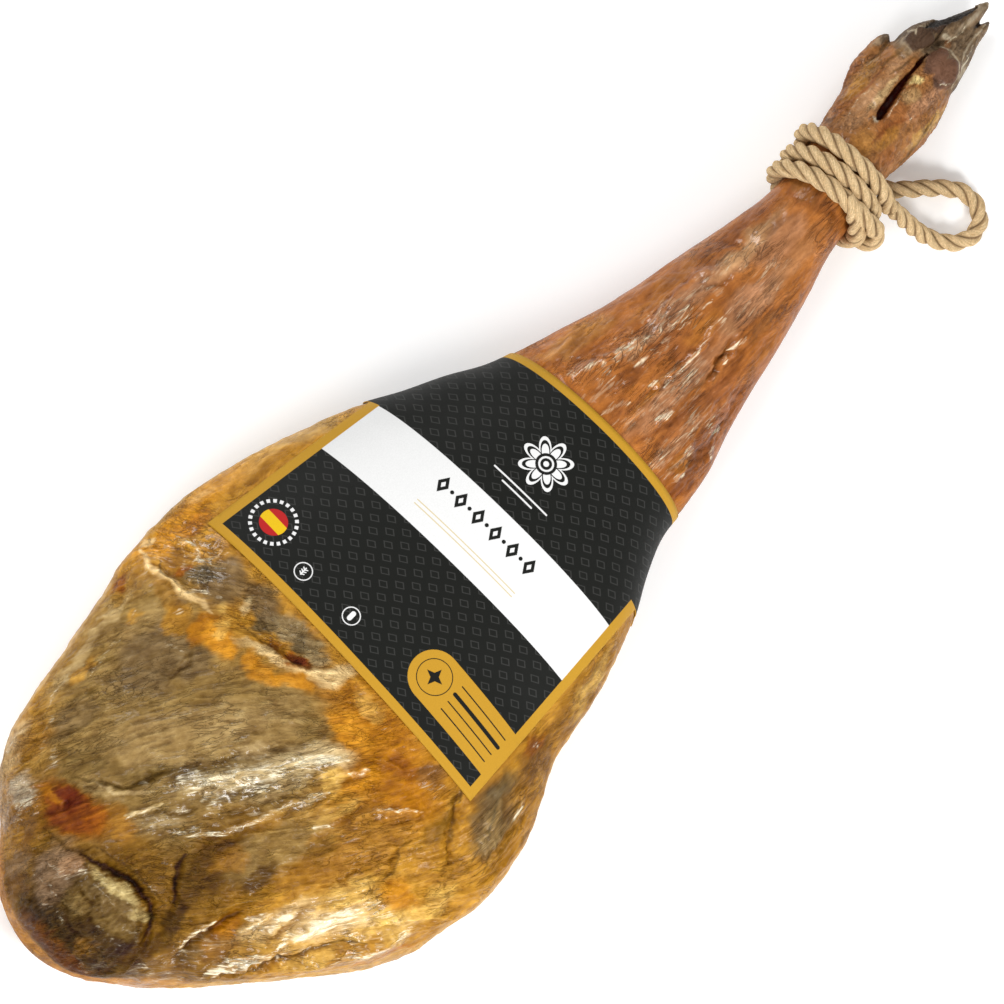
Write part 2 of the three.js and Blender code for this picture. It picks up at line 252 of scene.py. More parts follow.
def table_at(rows, x):
    """Smooth curve through the rows of a table, spaced by the root of the distance from the first."""
    x = np.asarray(x, float)
    reach = np.sqrt(rows[:, 0] - rows[0, 0])
    slope = np.empty_like(rows[:, 1:])
    ahead = np.minimum(np.arange(len(rows)) + 1, len(rows) - 1)
    behind = np.maximum(np.arange(len(rows)) - 1, 0)
    slope[:] = (rows[ahead, 1:] - rows[behind, 1:]) / (reach[ahead] - reach[behind])[:, None]
    i = np.clip(np.searchsorted(rows[:, 0], x, side="left") - 1, 0, len(rows) - 2)
    span = (reach[i + 1] - reach[i])[..., None]
    t = np.clip((np.sqrt(np.maximum(x - rows[0, 0], 0)) - reach[i])[..., None] / span, 0, 1)
    start, end = rows[i, 1:], rows[i + 1, 1:]
    return (start + (end - start) * t * t * (3 - 2 * t)
            + span * (t * (1 - t) ** 2 * slope[i] + t * t * (t - 1) * slope[i + 1]))


def section_points(x, angle):
    """Points of the plain sections. angle starts at +Y and turns through +Z."""
    far, near, low, high, middle = np.moveaxis(table_at(STATIONS, x), -1, 0)
    flat = smooth_step(-60, 120, -x)
    upper = np.sin(angle) >= 0
    power = np.where(upper, 2 / (2.05 + 0.2 * flat), 2 / 1.95)
    height = np.where(upper, high - middle, middle - low)
    cos, sin = np.cos(angle), np.sin(angle)
    y = (far + near) / 2 + (far - near) / 2 * np.sign(cos) * np.abs(cos) ** power
    z = middle + height * np.sign(sin) * np.abs(sin) ** power
    return np.stack([x + 0 * y, y, z], -1)


def section_normals(x, angle, step=0.01):
    along = section_points(x + step, angle) - section_points(x - step, angle)
    around = section_points(x, angle + step) - section_points(x, angle - step)
    return unit(np.cross(around, along))


def plane_place(points):
    """(a, b) of points in the drawing frame."""
    a = (points[:, 0] - PLANE_X) * math.cos(LEAN) + points[:, 2] * math.sin(LEAN)
    return a, points[:, 1]


# Mesh helpers

def link(name, data):
    thing = bpy.data.objects.new(name, data)
    bpy.context.collection.objects.link(thing)
    return thing


def grid_faces(rows, columns):
    """Quads of a grid of rows by columns whose columns close into rings."""
    i, j = np.meshgrid(np.arange(rows - 1), np.arange(columns), indexing="ij")
    k = (j + 1) % columns
    return np.stack([i * columns + j, i * columns + k, (i + 1) * columns + k, (i + 1) * columns + j],
                    -1).reshape(-1, 4)


def shade_smooth(mesh):
    mesh.polygons.foreach_set("use_smooth", np.ones(len(mesh.polygons), bool))


def make_mesh(name, points, faces):
    """points in the drawing frame."""
    mesh = bpy.data.meshes.new(name)
    mesh.from_pydata(row(points).tolist(), [], [list(f) for f in faces])
    mesh.update()
    shade_smooth(mesh)
    return mesh


def set_colour(mesh, name, rgb):
    layer = mesh.color_attributes.new(name, "FLOAT_COLOR", "POINT")
    layer.data.foreach_set("color", np.column_stack([rgb, np.ones(len(rgb))]).astype(np.float32).ravel())


def set_value(mesh, name, values):
    layer = mesh.attributes.new(name, "FLOAT", "POINT")
    layer.data.foreach_set("value", np.asarray(values, np.float32))


def set_vector(mesh, name, values):
    layer = mesh.attributes.new(name, "FLOAT_VECTOR", "POINT")
    layer.data.foreach_set("vector", np.asarray(values, np.float32).ravel())


def dress(mesh, material, tint, fibre, dull, film, gleam):
    """Gives a skin its painted values and its material."""
    set_colour(mesh, "tint", tint)
    set_vector(mesh, "fibre", fibre)
    for name, values in (("dull", dull), ("film", film), ("gleam", gleam)):
        set_value(mesh, name, values)
    mesh.materials.append(material)


def tapered_tube(rows, sides=28, steps=40):
    """Closed loft round a bent middle line, from rows of x, y, z, half width, half height."""
    t = (1 - np.cos(np.linspace(0, math.pi, steps))) / 2
    x = rows[0, 0] + (rows[-1, 0] - rows[0, 0]) * t
    y, z, half, tall = np.moveaxis(table_at(rows, x), -1, 0)
    half[[0, -1]] = tall[[0, -1]] = 1e-3
    angle = np.linspace(0, 2 * math.pi, sides, endpoint=False)
    points = np.stack([x[:, None] + 0 * angle, y[:, None] + half[:, None] * np.cos(angle),
                       z[:, None] + tall[:, None] * np.sin(angle)], -1)
    return points.reshape(-1, 3), capped(steps, sides)


def capped(rows, columns):
    """Faces of a closed tube of rings with its two ends filled."""
    faces = [list(f) for f in grid_faces(rows, columns)]
    return faces + [list(range(columns))[::-1], [(rows - 1) * columns + k for k in range(columns)]]


# Colours, as the eye reads them, turned to linear light

def tone(*rgb):
    c = np.array(rgb, float) / 255
    return np.where(c <= 0.04045, c / 12.92, ((c + 0.055) / 1.055) ** 2.4)


LAMP_GAIN = 1.13                  # how much brighter a white card on the butt is than paper white
GLOSS_VEIL = 0.016                # light that the gloss adds everywhere
FOOT_GAIN = 0.98                  # LAMP_GAIN's counterpart on the foot
DARKEST = (0.012, 0.006, 0.002)   # the darkest paint
PRINT_GAIN = 1.42                 # LAMP_GAIN's counterpart on the label's print

# Butt
KNOB, KNOB_GREY = tone(80, 60, 35), tone(140, 112, 84)
KNOB_DARK, KNOB_PALE = tone(62, 44, 24), tone(212, 188, 128)
OLIVE, OLIVE_DARK = tone(143, 115, 68), tone(106, 84, 48)
KHAKI, STRAW = tone(168, 139, 90), tone(214, 187, 136)
GREY_MEAT, SLATE = tone(121, 99, 69), tone(100, 86, 62)
ROCK = tone(150, 131, 96)
OCHRE, HONEY = tone(186, 134, 52), tone(232, 188, 100)
AMBER, DEEP_AMBER = tone(206, 140, 46), tone(178, 116, 36)
ORANGE, RUST = tone(184, 108, 34), tone(138, 76, 20)
BLOOD, PLUM = tone(100, 46, 8), tone(116, 82, 54)
# The second of these, a near black, is painted shade in creases, cracks and gaps.
UMBER, CREASE_SHADE = tone(90, 64, 32), tone(46, 31, 17)
BROWN, CARAMEL = tone(130, 94, 42), tone(146, 101, 42)
DRY_FAT, CREAM = tone(166, 117, 50), tone(226, 192, 134)
RIND, RIND_ORANGE = tone(206, 160, 88), tone(190, 130, 58)
RIND_TAN = tone(194, 160, 110)
# Shank and foot
SLIT_BROWN, SHANK_MEAN = tone(92, 42, 20), tone(172, 119, 80)
COPPER, RED_BROWN = tone(184, 114, 50), tone(142, 82, 44)
PINK, TAN = tone(184, 137, 104), tone(192, 148, 108)
CHALK = tone(198, 184, 158)
SHANK_RIM, FOOT_SKIN = tone(168, 104, 58), tone(160, 110, 66)
PAD, PAD_DARK = tone(114, 84, 68), tone(86, 68, 56)
HORN, HORN_DARK = tone(156, 132, 104), tone(100, 82, 64)
INK, BONE = tone(30, 21, 13), tone(224, 196, 132)
# Colour of the painted highlights (glints)
GLINT = tone(247, 233, 198)
# How strongly red, green and blue follow a patch's lightness, and the painted shade and painted light of the relief
BLOTCH_TINT, RELIEF_TINT = np.array([0.85, 1.0, 1.25]), np.array([0.85, 1.0, 1.15])


def blend(colour, paint, weight):
    colour += (paint - colour) * weight[:, None]


def near_box(a, b, run, reach):
    """Which points lie in the box round a run, with that much room round it."""
    run = np.asarray(run, float)
    low, high = run.min(0) - reach, run.max(0) + reach
    return np.nonzero((a > low[0]) & (a < high[0]) & (b > low[1]) & (b < high[1]))[0]


def oval(a, b, centre_a, centre_b, long, wide, degrees):
    """Distance from the middle of an oval, 1 on its edge."""
    turn = math.radians(degrees)
    u = ((a - centre_a) * math.cos(turn) + (b - centre_b) * math.sin(turn)) / long
    v = (-(a - centre_a) * math.sin(turn) + (b - centre_b) * math.cos(turn)) / wide
    return np.hypot(u, v)


def paint_spots(colour, a, b, spots):
    """Lays soft-edged ovals over the colour: tone, a, b, half length, half width, degrees, strength."""
    for paint, ca, cb, long, wide, degrees, strength in spots:
        i = near_box(a, b, [(ca, cb)], 1.3 * max(long, wide))
        weight = strength * smooth_step(1.25, 0.6, oval(a[i], b[i], ca, cb, long, wide, degrees))
        colour[i] += (paint - colour[i]) * weight[:, None]


def line_weight(a, b, half, strength, run):
    """Indices and weights of the points near a soft line that thins out at its ends."""
    i = near_box(a, b, run, 1.4 * half)
    d, place = run_distance(a[i], b[i], run)
    taper = np.sqrt(np.clip(4.5 * place * (1 - place), 0.12, 1))
    return i, strength * smooth_step(1.3, 0.3, d / (half * taper))


def strongest(a, b, lines, widen=1.0):
    """Weight of the strongest of some soft lines at each point."""
    most = np.zeros(len(a))
    for half, strength, run in lines:
        i, weight = line_weight(a, b, widen * half, strength, run)
        most[i] = np.maximum(most[i], weight)
    return most


def paint_lines(colour, a, b, lines):
    """Lays soft lines over the colour: tone, half width, strength, run of (a, b)."""
    for paint, half, strength, run in lines:
        i, weight = line_weight(a, b, half, strength, run)
        colour[i] += (paint - colour[i]) * weight[:, None]


# Spots and lines of the painted skin, in the rows that paint_spots and paint_lines read

BODY_SPOTS = [
    # fat side, brown and dry in the middle
    (OCHRE, -255, -72, 95, 40, -24, 1), (OCHRE, -205, -95, 52, 30, 8, 1), (DRY_FAT, -226, -56, 40, 20, -14, 1),
    (DEEP_AMBER, -190, -30, 24, 52, 0, 0.9), (BROWN, -330, 10, 60, 80, 0, 0.9),
    # muscle face; its olive-dark strips lie in grooves and are painted shade, and the straw strips along the middle
    # crest are pale film and painted highlight
    (OLIVE, -262, 48, 70, 56, -30, 1), (OLIVE, -225, 10, 40, 40, -40, 1), (OLIVE, -240, 88, 52, 32, 0, 1),
    (KHAKI, -256, 44, 40, 14, -38, 0.7), (KHAKI, -236, 34, 30, 10, -34, 0.6),
    (OLIVE_DARK, -292, 64, 16, 5, -60, 0.4), (OLIVE_DARK, -272, 34, 26, 4, -42, 0.7),
    (GREY_MEAT, -234, 80, 26, 16, 0, 0.8), (KHAKI, -228, 98, 16, 5, 0, 0.4), (STRAW, -250, 108, 34, 3, 6, 0.4),
    (GREY_MEAT, -222, 62, 10, 6, 0, 0.7), (GREY_MEAT, -284, 88, 16, 8, -10, 0.5),
    (OCHRE, -262, 101, 10, 3, 0, 0.6), (OCHRE, -226, 102, 6, 3, 0, 0.6), (KHAKI, -210, 12, 16, 12, 20, 0.5),
    (STRAW, -232, 9, 12, 5, -34, 0.5), (OLIVE_DARK, -246, -2, 20, 3, -20, 0.6),
    (STRAW, -230, -13, 24, 4, -20, 0.5), (STRAW, -250, 9, 26, 6, -34, 0.5), (STRAW, -215, -13, 22, 7, -42, 0.9),
    (KHAKI, -232, -27, 9, 4, -16, 0.7), (STRAW, -292, 21, 15, 3, -44, 0.25),
    (KHAKI, -298, 50, 3.6, 14, 20, 0.7),
    # brown hollow between the knob and the muscle; the dark strips along its crack and grooves are painted shade
    (BROWN, -311, 14, 12, 30, 4, 1), (DRY_FAT, -306, 36, 9, 12, 0, 0.9), (BROWN, -288, -16, 30, 17, -10, 1),
    (UMBER, -287, -16, 24, 13, -10, 0.85), (OLIVE, -258, -32, 30, 12, -18, 0.9),
    (UMBER, -276, -34, 12, 5, -10, 0.9), (OLIVE_DARK, -292, 4, 10, 8, 0, 0.4),
    (UMBER, -306, -14, 12, 5, 28, 0.5), (KNOB_DARK, -320, -20, 10, 5, 26, 0.7),
    (DRY_FAT, -280, -19, 10, 6, -20, 0.6), (CARAMEL, -318, -38, 24, 6, -7, 1),
    (DEEP_AMBER, -305, -42, 9, 5, -8, 0.8), (OLIVE_DARK, -330, -37, 10, 5, -10, 0.6),
    (UMBER, -276, -42, 18, 4, -10, 0.4),
    # red hollow
    (RUST, -318, 56, 13, 20, 8, 1), (ORANGE, -314, 44, 7, 6, 0, 0.4), (BLOOD, -313, 62, 7, 9, 0, 0.85),
    (BLOOD, -330, 58, 9, 7, -40, 0.4), (DEEP_AMBER, -320, 72, 3, 8, 10, 0.7), (RUST, -321, 51, 5, 6, 0, 0.8),
    (OLIVE_DARK, -303, 74, 6, 10, -10, 0.4), (BROWN, -309, 80, 7, 5, 0, 0.6),
    # outer edge by the knob; the chalk patch is a painted highlight
    (CARAMEL, -338, 68, 16, 9, 34, 0.8), (PLUM, -340, 64, 9, 4, 34, 0.5), (CHALK, -327, 82, 8, 6, 30, 0.6),
    (RIND_TAN, -316, 99, 16, 6, 20, 0.9), (CARAMEL, -306, 93, 14, 7, 10, 0.7), (OCHRE, -350, 66, 9, 5, 30, 0.6),
    (KNOB_GREY, -354, 56, 8, 6, 0, 0.6),
    # knob; the dark strips toward its lower edge, by the end of the crease, are painted shade
    (KNOB, -354, 12, 30, 36, 0, 1), (RUST, -371, 12, 6, 30, 0, 0.4), (KNOB_GREY, -345, 40, 17, 10, 20, 0.95),
    (TAN, -337, 36, 5, 7, 10, 0.55), (KNOB_DARK, -364, 34, 7, 10, -30, 0.4), (OLIVE, -346, 22, 8, 7, 0, 0.5),
    (CARAMEL, -359, 4, 6, 6, 0, 0.5), (OLIVE, -341, 2, 7, 12, 0, 0.5), (CREASE_SHADE, -347, -12, 7, 3, 0, 0.5),
    (UMBER, -361, -10, 6, 3, -30, 0.6), (KHAKI, -335, 12, 4, 16, 4, 0.3),
    (KNOB_PALE, -329, 14, 3.2, 15, 4, 0.9), (KNOB_PALE, -331, -6, 3.2, 8, 20, 0.6),
    (KNOB_DARK, -338, -22, 19, 4, -6, 0.55), (PLUM, -362, 48, 8, 5, 40, 0.5),
    # fat folds; the cream and honey strips on their crests are pale fat and painted highlight, and the thin caramel
    # and umber strips between them are painted shade
    (HONEY, -264, -74, 42, 14, -26, 0.5), (CREAM, -284, -58, 22, 4, -18, 0.5),
    (CREAM, -262, -84, 22, 5, -28, 0.5), (HONEY, -302, -86, 12, 2.6, -40, 0.5),
    (UMBER, -318, -45, 12, 1.8, -20, 0.6), (CARAMEL, -290, -54, 10, 1.4, -14, 0.6),
    (CARAMEL, -314, -46, 13, 4, -18, 0.8), (CREAM, -284, -56, 24, 4, -20, 0.6),
    (CARAMEL, -282, -62, 14, 2.4, -14, 0.8), (CREAM, -268, -73, 24, 6, -26, 0.8),
    (CARAMEL, -298, -71, 13, 2.6, -30, 0.8), (HONEY, -286, -82, 16, 3.4, -28, 0.5),
    (HONEY, -244, -97, 12, 12, -20, 0.9), (AMBER, -234, -91, 10, 9, -34, 0.95),
    (HONEY, -262, -92, 9, 4, -30, 0.7), (ORANGE, -262, -107, 20, 2.6, -24, 0.5),
    (CARAMEL, -204, -104, 9, 5, 12, 0.6), (HONEY, -226, -108, 18, 6, -10, 0.6),
    (BROWN, -196, -84, 12, 6, -6, 0.6), (HONEY, -248, -72, 12, 5, -24, 0.6), (BROWN, -246, -48, 12, 6, 0, 0.8),
    (CARAMEL, -240, -42, 8, 3, -6, 0.5), (CARAMEL, -258, -52, 14, 6, -10, 0.5),
    (HONEY, -226, -40, 14, 3, -20, 0.4),
    # amber fat between muscle and label
    (OCHRE, -211, 84, 8, 8, 10, 0.8), (CARAMEL, -205, 96, 6, 9, -20, 0.5),
    (DEEP_AMBER, -208, 72, 10, 5, 0, 0.9), (AMBER, -204, 62, 9, 10, 20, 1), (AMBER, -205, 57, 5, 5, 0, 0.9),
    (HONEY, -199, 64, 5, 4, 0, 0.6), (AMBER, -201, 43, 6, 4, 0, 0.8), (AMBER, -200, 34, 5, 10, 26, 0.8),
    (AMBER, -193, 22, 4, 12, 24, 0.9), (HONEY, -192, 73, 5, 3, 0, 0.5), (STRAW, -196, 50, 3, 8, 20, 0.4),
    (CREAM, -191, 38, 2.6, 14, 16, 0.9), (CREAM, -176, 8, 5, 12, 50, 1), (CREAM, -184, 19, 3, 9, 36, 0.9),
    (GREY_MEAT, -182, 82, 14, 14, 0, 0.9), (SLATE, -188, 92, 10, 5, -30, 0.8), (SLATE, -181, 53, 8, 6, 0, 0.9),
    (GREY_MEAT, -174, 62, 8, 12, 0, 0.9), (ROCK, -176, 40, 7, 12, 0, 0.9), (SLATE, -178, 33, 4, 5, 0, 0.7),
    (ROCK, -175, 24, 6, 9, -20, 0.9), (STRAW, -181, 65, 5, 3, 10, 0.7), (BLOOD, -187, 40, 2.2, 6, -4, 0.6),
    (RUST, -184, 27, 4, 8, 10, 0.95), (BLOOD, -183, 25, 2.6, 4, 10, 0.7), (AMBER, -191, -16, 8, 14, 0, 1),
    (DEEP_AMBER, -180, -30, 9, 16, 0, 0.8), (HONEY, -214, -28, 9, 4, -6, 0.8),
    (AMBER, -204, -40, 10, 5, -30, 0.9), (DEEP_AMBER, -195, -58, 8, 14, 10, 0.9),
    (RUST, -186, -50, 6, 10, 0, 0.45), (PLUM, -179, -62, 6, 8, 20, 0.7), (BROWN, -186, -82, 14, 3.4, 22, 0.8),
    (HONEY, -176, -16, 5, 9, 0, 0.4),
    # edge above the label
    (AMBER, -180, 118, 26, 6, 0, 0.8), (ORANGE, -170, 112, 10, 5, -10, 0.5), (CARAMEL, -190, 108, 6, 6, 0, 0.8),
    (RUST, -193, 100, 5, 3, -20, 0.8), (RUST, -219, 118, 5, 2.6, 10, 0.8), (CREAM, -194, 122, 4, 3, 40, 0.8),
    (CARAMEL, -172, 94, 5, 7, 20, 0.7), (CREAM, -158, 119, 8, 2, -24, 0.7),
    # streaked rind by the near corner of the label
    (GREY_MEAT, -172, -100, 22, 11, 25, 0.9), (KHAKI, -178, -104, 14, 6, 28, 0.7),
    (SLATE, -158, -92, 12, 5, 10, 0.7), (CARAMEL, -170, -114, 30, 5, 12, 0.6),
    (SLATE, -166, -100, 9, 2, 26, 0.5),
]
# Most dark lines below lie in grooves of FOLDS and are painted shade along them. The two straw lines on crests beside
# glints are pale film and painted highlight.
BODY_LINES = [
    (CREASE_SHADE, 2.0, 0.75, [(-331, 38), (-328, 30), (-325, 20), (-322, 10), (-322, 2), (-325, -8), (-332, -14),
                       (-342, -16)]), (UMBER, 1.6, 0.6, [(-340, -16), (-350, -15), (-358, -12)]),
    (UMBER, 1.4, 0.6, [(-334, 56), (-332, 44), (-330, 36)]),
    (UMBER, 1.2, 0.7, [(-322, 34), (-319, 22), (-317, 10), (-318, -2), (-319, -12)]),
    (CREASE_SHADE, 1.3, 0.8, [(-316, -15), (-308, -8), (-301, -2), (-292, -1)]),
    (UMBER, 1.2, 0.75, [(-336, -33), (-318, -36), (-302, -39), (-294, -42)]),
    (CREAM, 2.2, 0.8, [(-200, 122), (-203, 112), (-200, 100), (-201, 92), (-197, 82), (-198, 74)]),
    (STRAW, 0.9, 0.9, [(-301, 34), (-294, 30), (-284, 25)]),
    (STRAW, 1.2, 0.6, [(-299, 58), (-296, 46), (-288, 38), (-282, 32)]),
    (OLIVE_DARK, 1.2, 0.8, [(-303, 66), (-298, 56), (-291, 44), (-284, 40), (-274, 36)]),
    (UMBER, 1.1, 0.6, [(-262, 32), (-254, 25), (-246, 18), (-238, 14)]),
    (UMBER, 1.0, 0.7, [(-316, -62), (-304, -67), (-292, -74), (-282, -80), (-270, -88), (-262, -97)]),
    (UMBER, 1.1, 0.6, [(-176, -78), (-184, -84), (-192, -90), (-202, -96)]),
    (UMBER, 0.8, 0.6, [(-234, -81), (-226, -82), (-216, -76), (-208, -78)]),
    (UMBER, 0.7, 0.6, [(-198, -116), (-190, -112), (-180, -110)]),
    (UMBER, 0.7, 0.6, [(-196, -106), (-184, -104)]),
    (SLATE, 0.8, 0.7, [(-182, -104), (-172, -98), (-162, -94)]),
    (UMBER, 0.8, 0.8, [(-164, -105), (-156, -103)]), (CREASE_SHADE, 0.8, 0.7, [(-196, 112), (-201, 106), (-200, 96)]),
    (UMBER, 0.8, 0.6, [(-191, 62), (-190, 50), (-188, 40)]), (CREASE_SHADE, 0.9, 0.7, [(-172, -77), (-178, -82)]),
    (UMBER, 0.7, 0.6, [(-240, 66), (-230, 66), (-220, 70)]),
    # narrow skin along the outline of the butt
    (RIND_ORANGE, 4.2, 0.85, [(-360, 64), (-371, 52), (-378, 38), (-381, 22), (-379, 6)]),
    (RIND_ORANGE, 5.0, 0.95, [(-372, -10), (-362, -25), (-350, -39), (-338, -52), (-328, -62)]),
    (RIND, 4.0, 0.9, [(-326, -66), (-312, -78), (-296, -92), (-276, -104), (-250, -114)]),
]

# Painted highlights (glints) on the wrinkled film: half width, strength, run. The material also makes these places
# glossier.
GLEAMS = [
    (1.5, 0.95, [(-291, 11), (-286, 6), (-282, 1), (-275, -5), (-267, -11), (-258, -14), (-248, -17),
                 (-238, -21)]), (1.0, 0.7, [(-240, -21), (-234, -23), (-229, -24)]),
    (2.6, 0.7, [(-237, -26), (-229, -27), (-221, -31)]), (5.5, 0.95, [(-271, 27), (-264, 21), (-257, 16)]),
    (4.0, 0.9, [(-268, 12), (-256, 13), (-246, 10)]), (4.0, 0.75, [(-272, 6), (-260, 6), (-250, 5)]),
    (5.5, 1.0, [(-250, 5), (-240, 0), (-232, -5)]), (3.4, 0.9, [(-246, -3), (-238, -6), (-230, -7)]),
    (3.6, 0.95, [(-230, -3), (-218, -11), (-210, -19), (-203, -26)]),
    (0.9, 0.9, [(-302, 34), (-292, 29), (-284, 24)]), (1.1, 0.8, [(-284, 20), (-279, 16), (-274, 13)]),
    (1.4, 0.8, [(-285, 41), (-280, 37)]), (1.2, 0.55, [(-231, 29), (-226, 27), (-219, 24)]),
    (1.4, 0.5, [(-272, 46), (-262, 38), (-252, 30)]), (2.4, 0.45, [(-248, 30), (-240, 26), (-230, 18)]),
    (3.0, 0.35, [(-262, 62), (-244, 50), (-226, 38)]), (2.6, 0.4, [(-298, 22), (-290, 18), (-284, 12)]),
    (2.6, 1.1, [(-330, -47), (-322, -51), (-314, -56), (-306, -60), (-298, -64)]),
    (1.8, 1.0, [(-300, -48), (-292, -51), (-287, -50)]), (1.4, 0.9, [(-297, -45), (-291, -49), (-285, -53)]),
    (2.0, 1.1, [(-291, -57), (-284, -57), (-276, -60)]), (1.2, 0.7, [(-278, -54), (-272, -56), (-266, -58)]),
    (2.0, 0.95, [(-294, -65), (-286, -66), (-278, -69)]),
    (4.6, 1.2, [(-286, -69), (-274, -72), (-262, -77), (-252, -83)]),
    (3.0, 0.85, [(-270, -80), (-260, -84), (-250, -88)]),
    (1.6, 0.9, [(-318, -71), (-310, -77), (-301, -85), (-293, -91)]),
    (1.4, 0.7, [(-308, -76), (-300, -80), (-292, -86)]), (1.0, 0.7, [(-302, -67), (-294, -71), (-287, -77)]),
    (2.0, 0.9, [(-269, -98), (-262, -101), (-255, -105)]),
    (2.6, 0.9, [(-250, -106), (-246, -108), (-242, -108)]),
    (2.4, 0.85, [(-249, -90), (-245, -95), (-243, -102)]),
    (2.0, 1.1, [(-330, -31), (-322, -32), (-314, -34), (-307, -36)]),
    (1.4, 0.8, [(-354, -19), (-349, -24), (-347, -30)]), (2.0, 0.7, [(-350, -33), (-344, -38), (-339, -44)]),
    (1.2, 0.7, [(-318, 2), (-317, -3)]), (1.0, 1.0, [(-211, -54), (-204, -61), (-198, -68), (-195, -73)]),
    (1.8, 0.9, [(-209, -31), (-204, -35), (-198, -38)]), (1.2, 0.8, [(-240, -38), (-235, -41), (-231, -45)]),
    (2.2, 0.7, [(-206, -22), (-202, -27)]), (3.4, 0.8, [(-336, 76), (-330, 75), (-324, 73)]),
    (4.0, 0.7, [(-330, 86), (-324, 81)]), (2.0, 0.7, [(-320, 100), (-310, 103)]),
    (2.0, 0.6, [(-306, 88), (-300, 90)]), (2.4, 0.6, [(-300, 84), (-304, 80), (-312, 79)]),
    (3.0, 0.75, [(-346, 38), (-338, 33), (-333, 28)]), (2.4, 0.4, [(-372, 4), (-364, -6), (-356, -14)]),
    (1.0, 0.7, [(-232, 102), (-224, 102)]),
    (1.2, 1.0, [(-186, 104), (-184, 110), (-179, 107), (-180, 100), (-184, 98), (-176, 93), (-170, 88)]),
    (1.6, 0.8, [(-201, 91), (-195, 88), (-191, 82)]), (1.2, 0.9, [(-190, 79), (-188, 76)]),
    (1.2, 0.8, [(-212, 88), (-206, 85)]), (2.0, 0.6, [(-186, -60), (-183, -66), (-179, -71)]),
    (0.8, 0.9, [(-188, -53), (-184, -56)]), (0.9, 0.8, [(-180, -26), (-176, -32)]),
    (1.6, 0.8, [(-168, -108), (-160, -106), (-154, -102)]), (1.0, 0.8, [(-132, -88), (-130, -92)]),
    (0.8, 0.7, [(-353, 46), (-350, 37), (-351, 29)]), (0.8, 0.7, [(-345, 47), (-342, 39), (-343, 31)]),
    (0.8, 0.6, [(-358, 34), (-356, 26), (-358, 18)]), (0.7, 0.7, [(-337, 26), (-335, 16), (-336, 6)]),
    (0.7, 0.7, [(-331, 25), (-329, 14), (-331, 2)]), (0.8, 0.6, [(-348, 8), (-346, 0), (-348, -8)]),
    (0.8, 0.6, [(-341, -2), (-339, -10), (-343, -15)]), (0.7, 0.6, [(-367, 8), (-365, -2), (-361, -11)]),
    (0.9, 0.7, [(-292, 100), (-282, 103), (-270, 104)]), (0.9, 0.7, [(-262, 97), (-250, 99), (-240, 98)]),
    (0.8, 0.6, [(-300, 93), (-290, 95)]), (0.8, 0.6, [(-230, 84), (-224, 78), (-220, 70)]),
    (0.7, 0.5, [(-322, -62), (-312, -69), (-300, -78)]), (0.8, 0.7, [(-290, -74), (-280, -80), (-268, -86)]),
    (0.8, 0.7, [(-284, -88), (-272, -94), (-262, -99)]), (0.6, 0.5, [(-296, -82), (-286, -90), (-276, -96)]),
    # shank
    (2.2, 1.1, [(29, -19), (34, -21), (38, -22)]), (1.0, 1.0, [(73, -23), (78, -22)]),
    (1.3, 1.1, [(81, -20), (86, -22), (91, -22)]), (1.6, 0.9, [(82, -7), (86, -6), (91, -9)]),
    (1.0, 0.9, [(36, -4), (44, -5)]), (2.2, 0.9, [(44, -9), (52, -8), (60, -10), (70, -9)]),
    (1.2, 0.8, [(70, -9), (78, -7), (84, -6)]), (5.0, 0.6, [(30, -14), (46, -15), (62, -16)]),
    (1.4, 0.9, [(12, -46), (20, -47)]), (1.2, 0.9, [(27, -43), (32, -41)]), (1.2, 1.0, [(34, -51), (41, -49)]),
    (1.2, 0.7, [(42, -46), (50, -44)]), (1.2, 0.8, [(10, -42), (22, -41), (34, -39)]),
    (1.8, 0.7, [(10, -31), (12, -36)]), (5.0, 0.5, [(14, -34), (34, -34), (54, -32)]),
    (3.2, 0.75, [(12, 30), (22, 25), (30, 21)]), (2.8, 0.8, [(34, 18), (46, 16), (58, 12)]),
    (3.4, 0.6, [(60, 16), (78, 15), (94, 14)]), (2.4, 0.7, [(92, 16), (102, 12), (112, 9)]),
    (1.2, 0.8, [(41, 9), (48, 7), (56, 7)]), (1.2, 0.7, [(70, 5), (82, 6), (92, 4)]),
    (2.0, 0.7, [(12, 4), (20, 2), (26, -2)]), (2.6, 0.6, [(12, 13), (20, 10)]),
    (2.0, 0.6, [(12, -4), (18, -8), (24, -10)]), (1.0, 0.6, [(56, 17), (70, 18), (88, 19)]),
    (4.0, 0.4, [(96, -6), (112, -6), (130, -4)]), (1.0, 0.6, [(44, -38), (60, -38), (76, -34)]),
    (1.0, 0.5, [(12, 44), (24, 42), (36, 36)]), (1.0, 0.5, [(40, 34), (52, 33)]),
    (3.0, 0.4, [(120, 10), (136, 9), (150, 9)]),
]

SIDE_SPOTS = [
    (RIND, -110, 112, 60, 9, -14, 0.8), (AMBER, -150, 118, 22, 7, -5, 0.4),
    (CARAMEL, -128, 106, 20, 3, -14, 0.7), (KHAKI, -100, 104, 20, 4, -18, 0.5),
    (CARAMEL, -110, -92, 60, 8, 10, 0.8), (PLUM, -138, -94, 16, 6, 16, 0.5), (HONEY, -90, -88, 22, 4, 14, 0.5),
    (RUST, -132, -88, 8, 4, 10, 0.7),
]
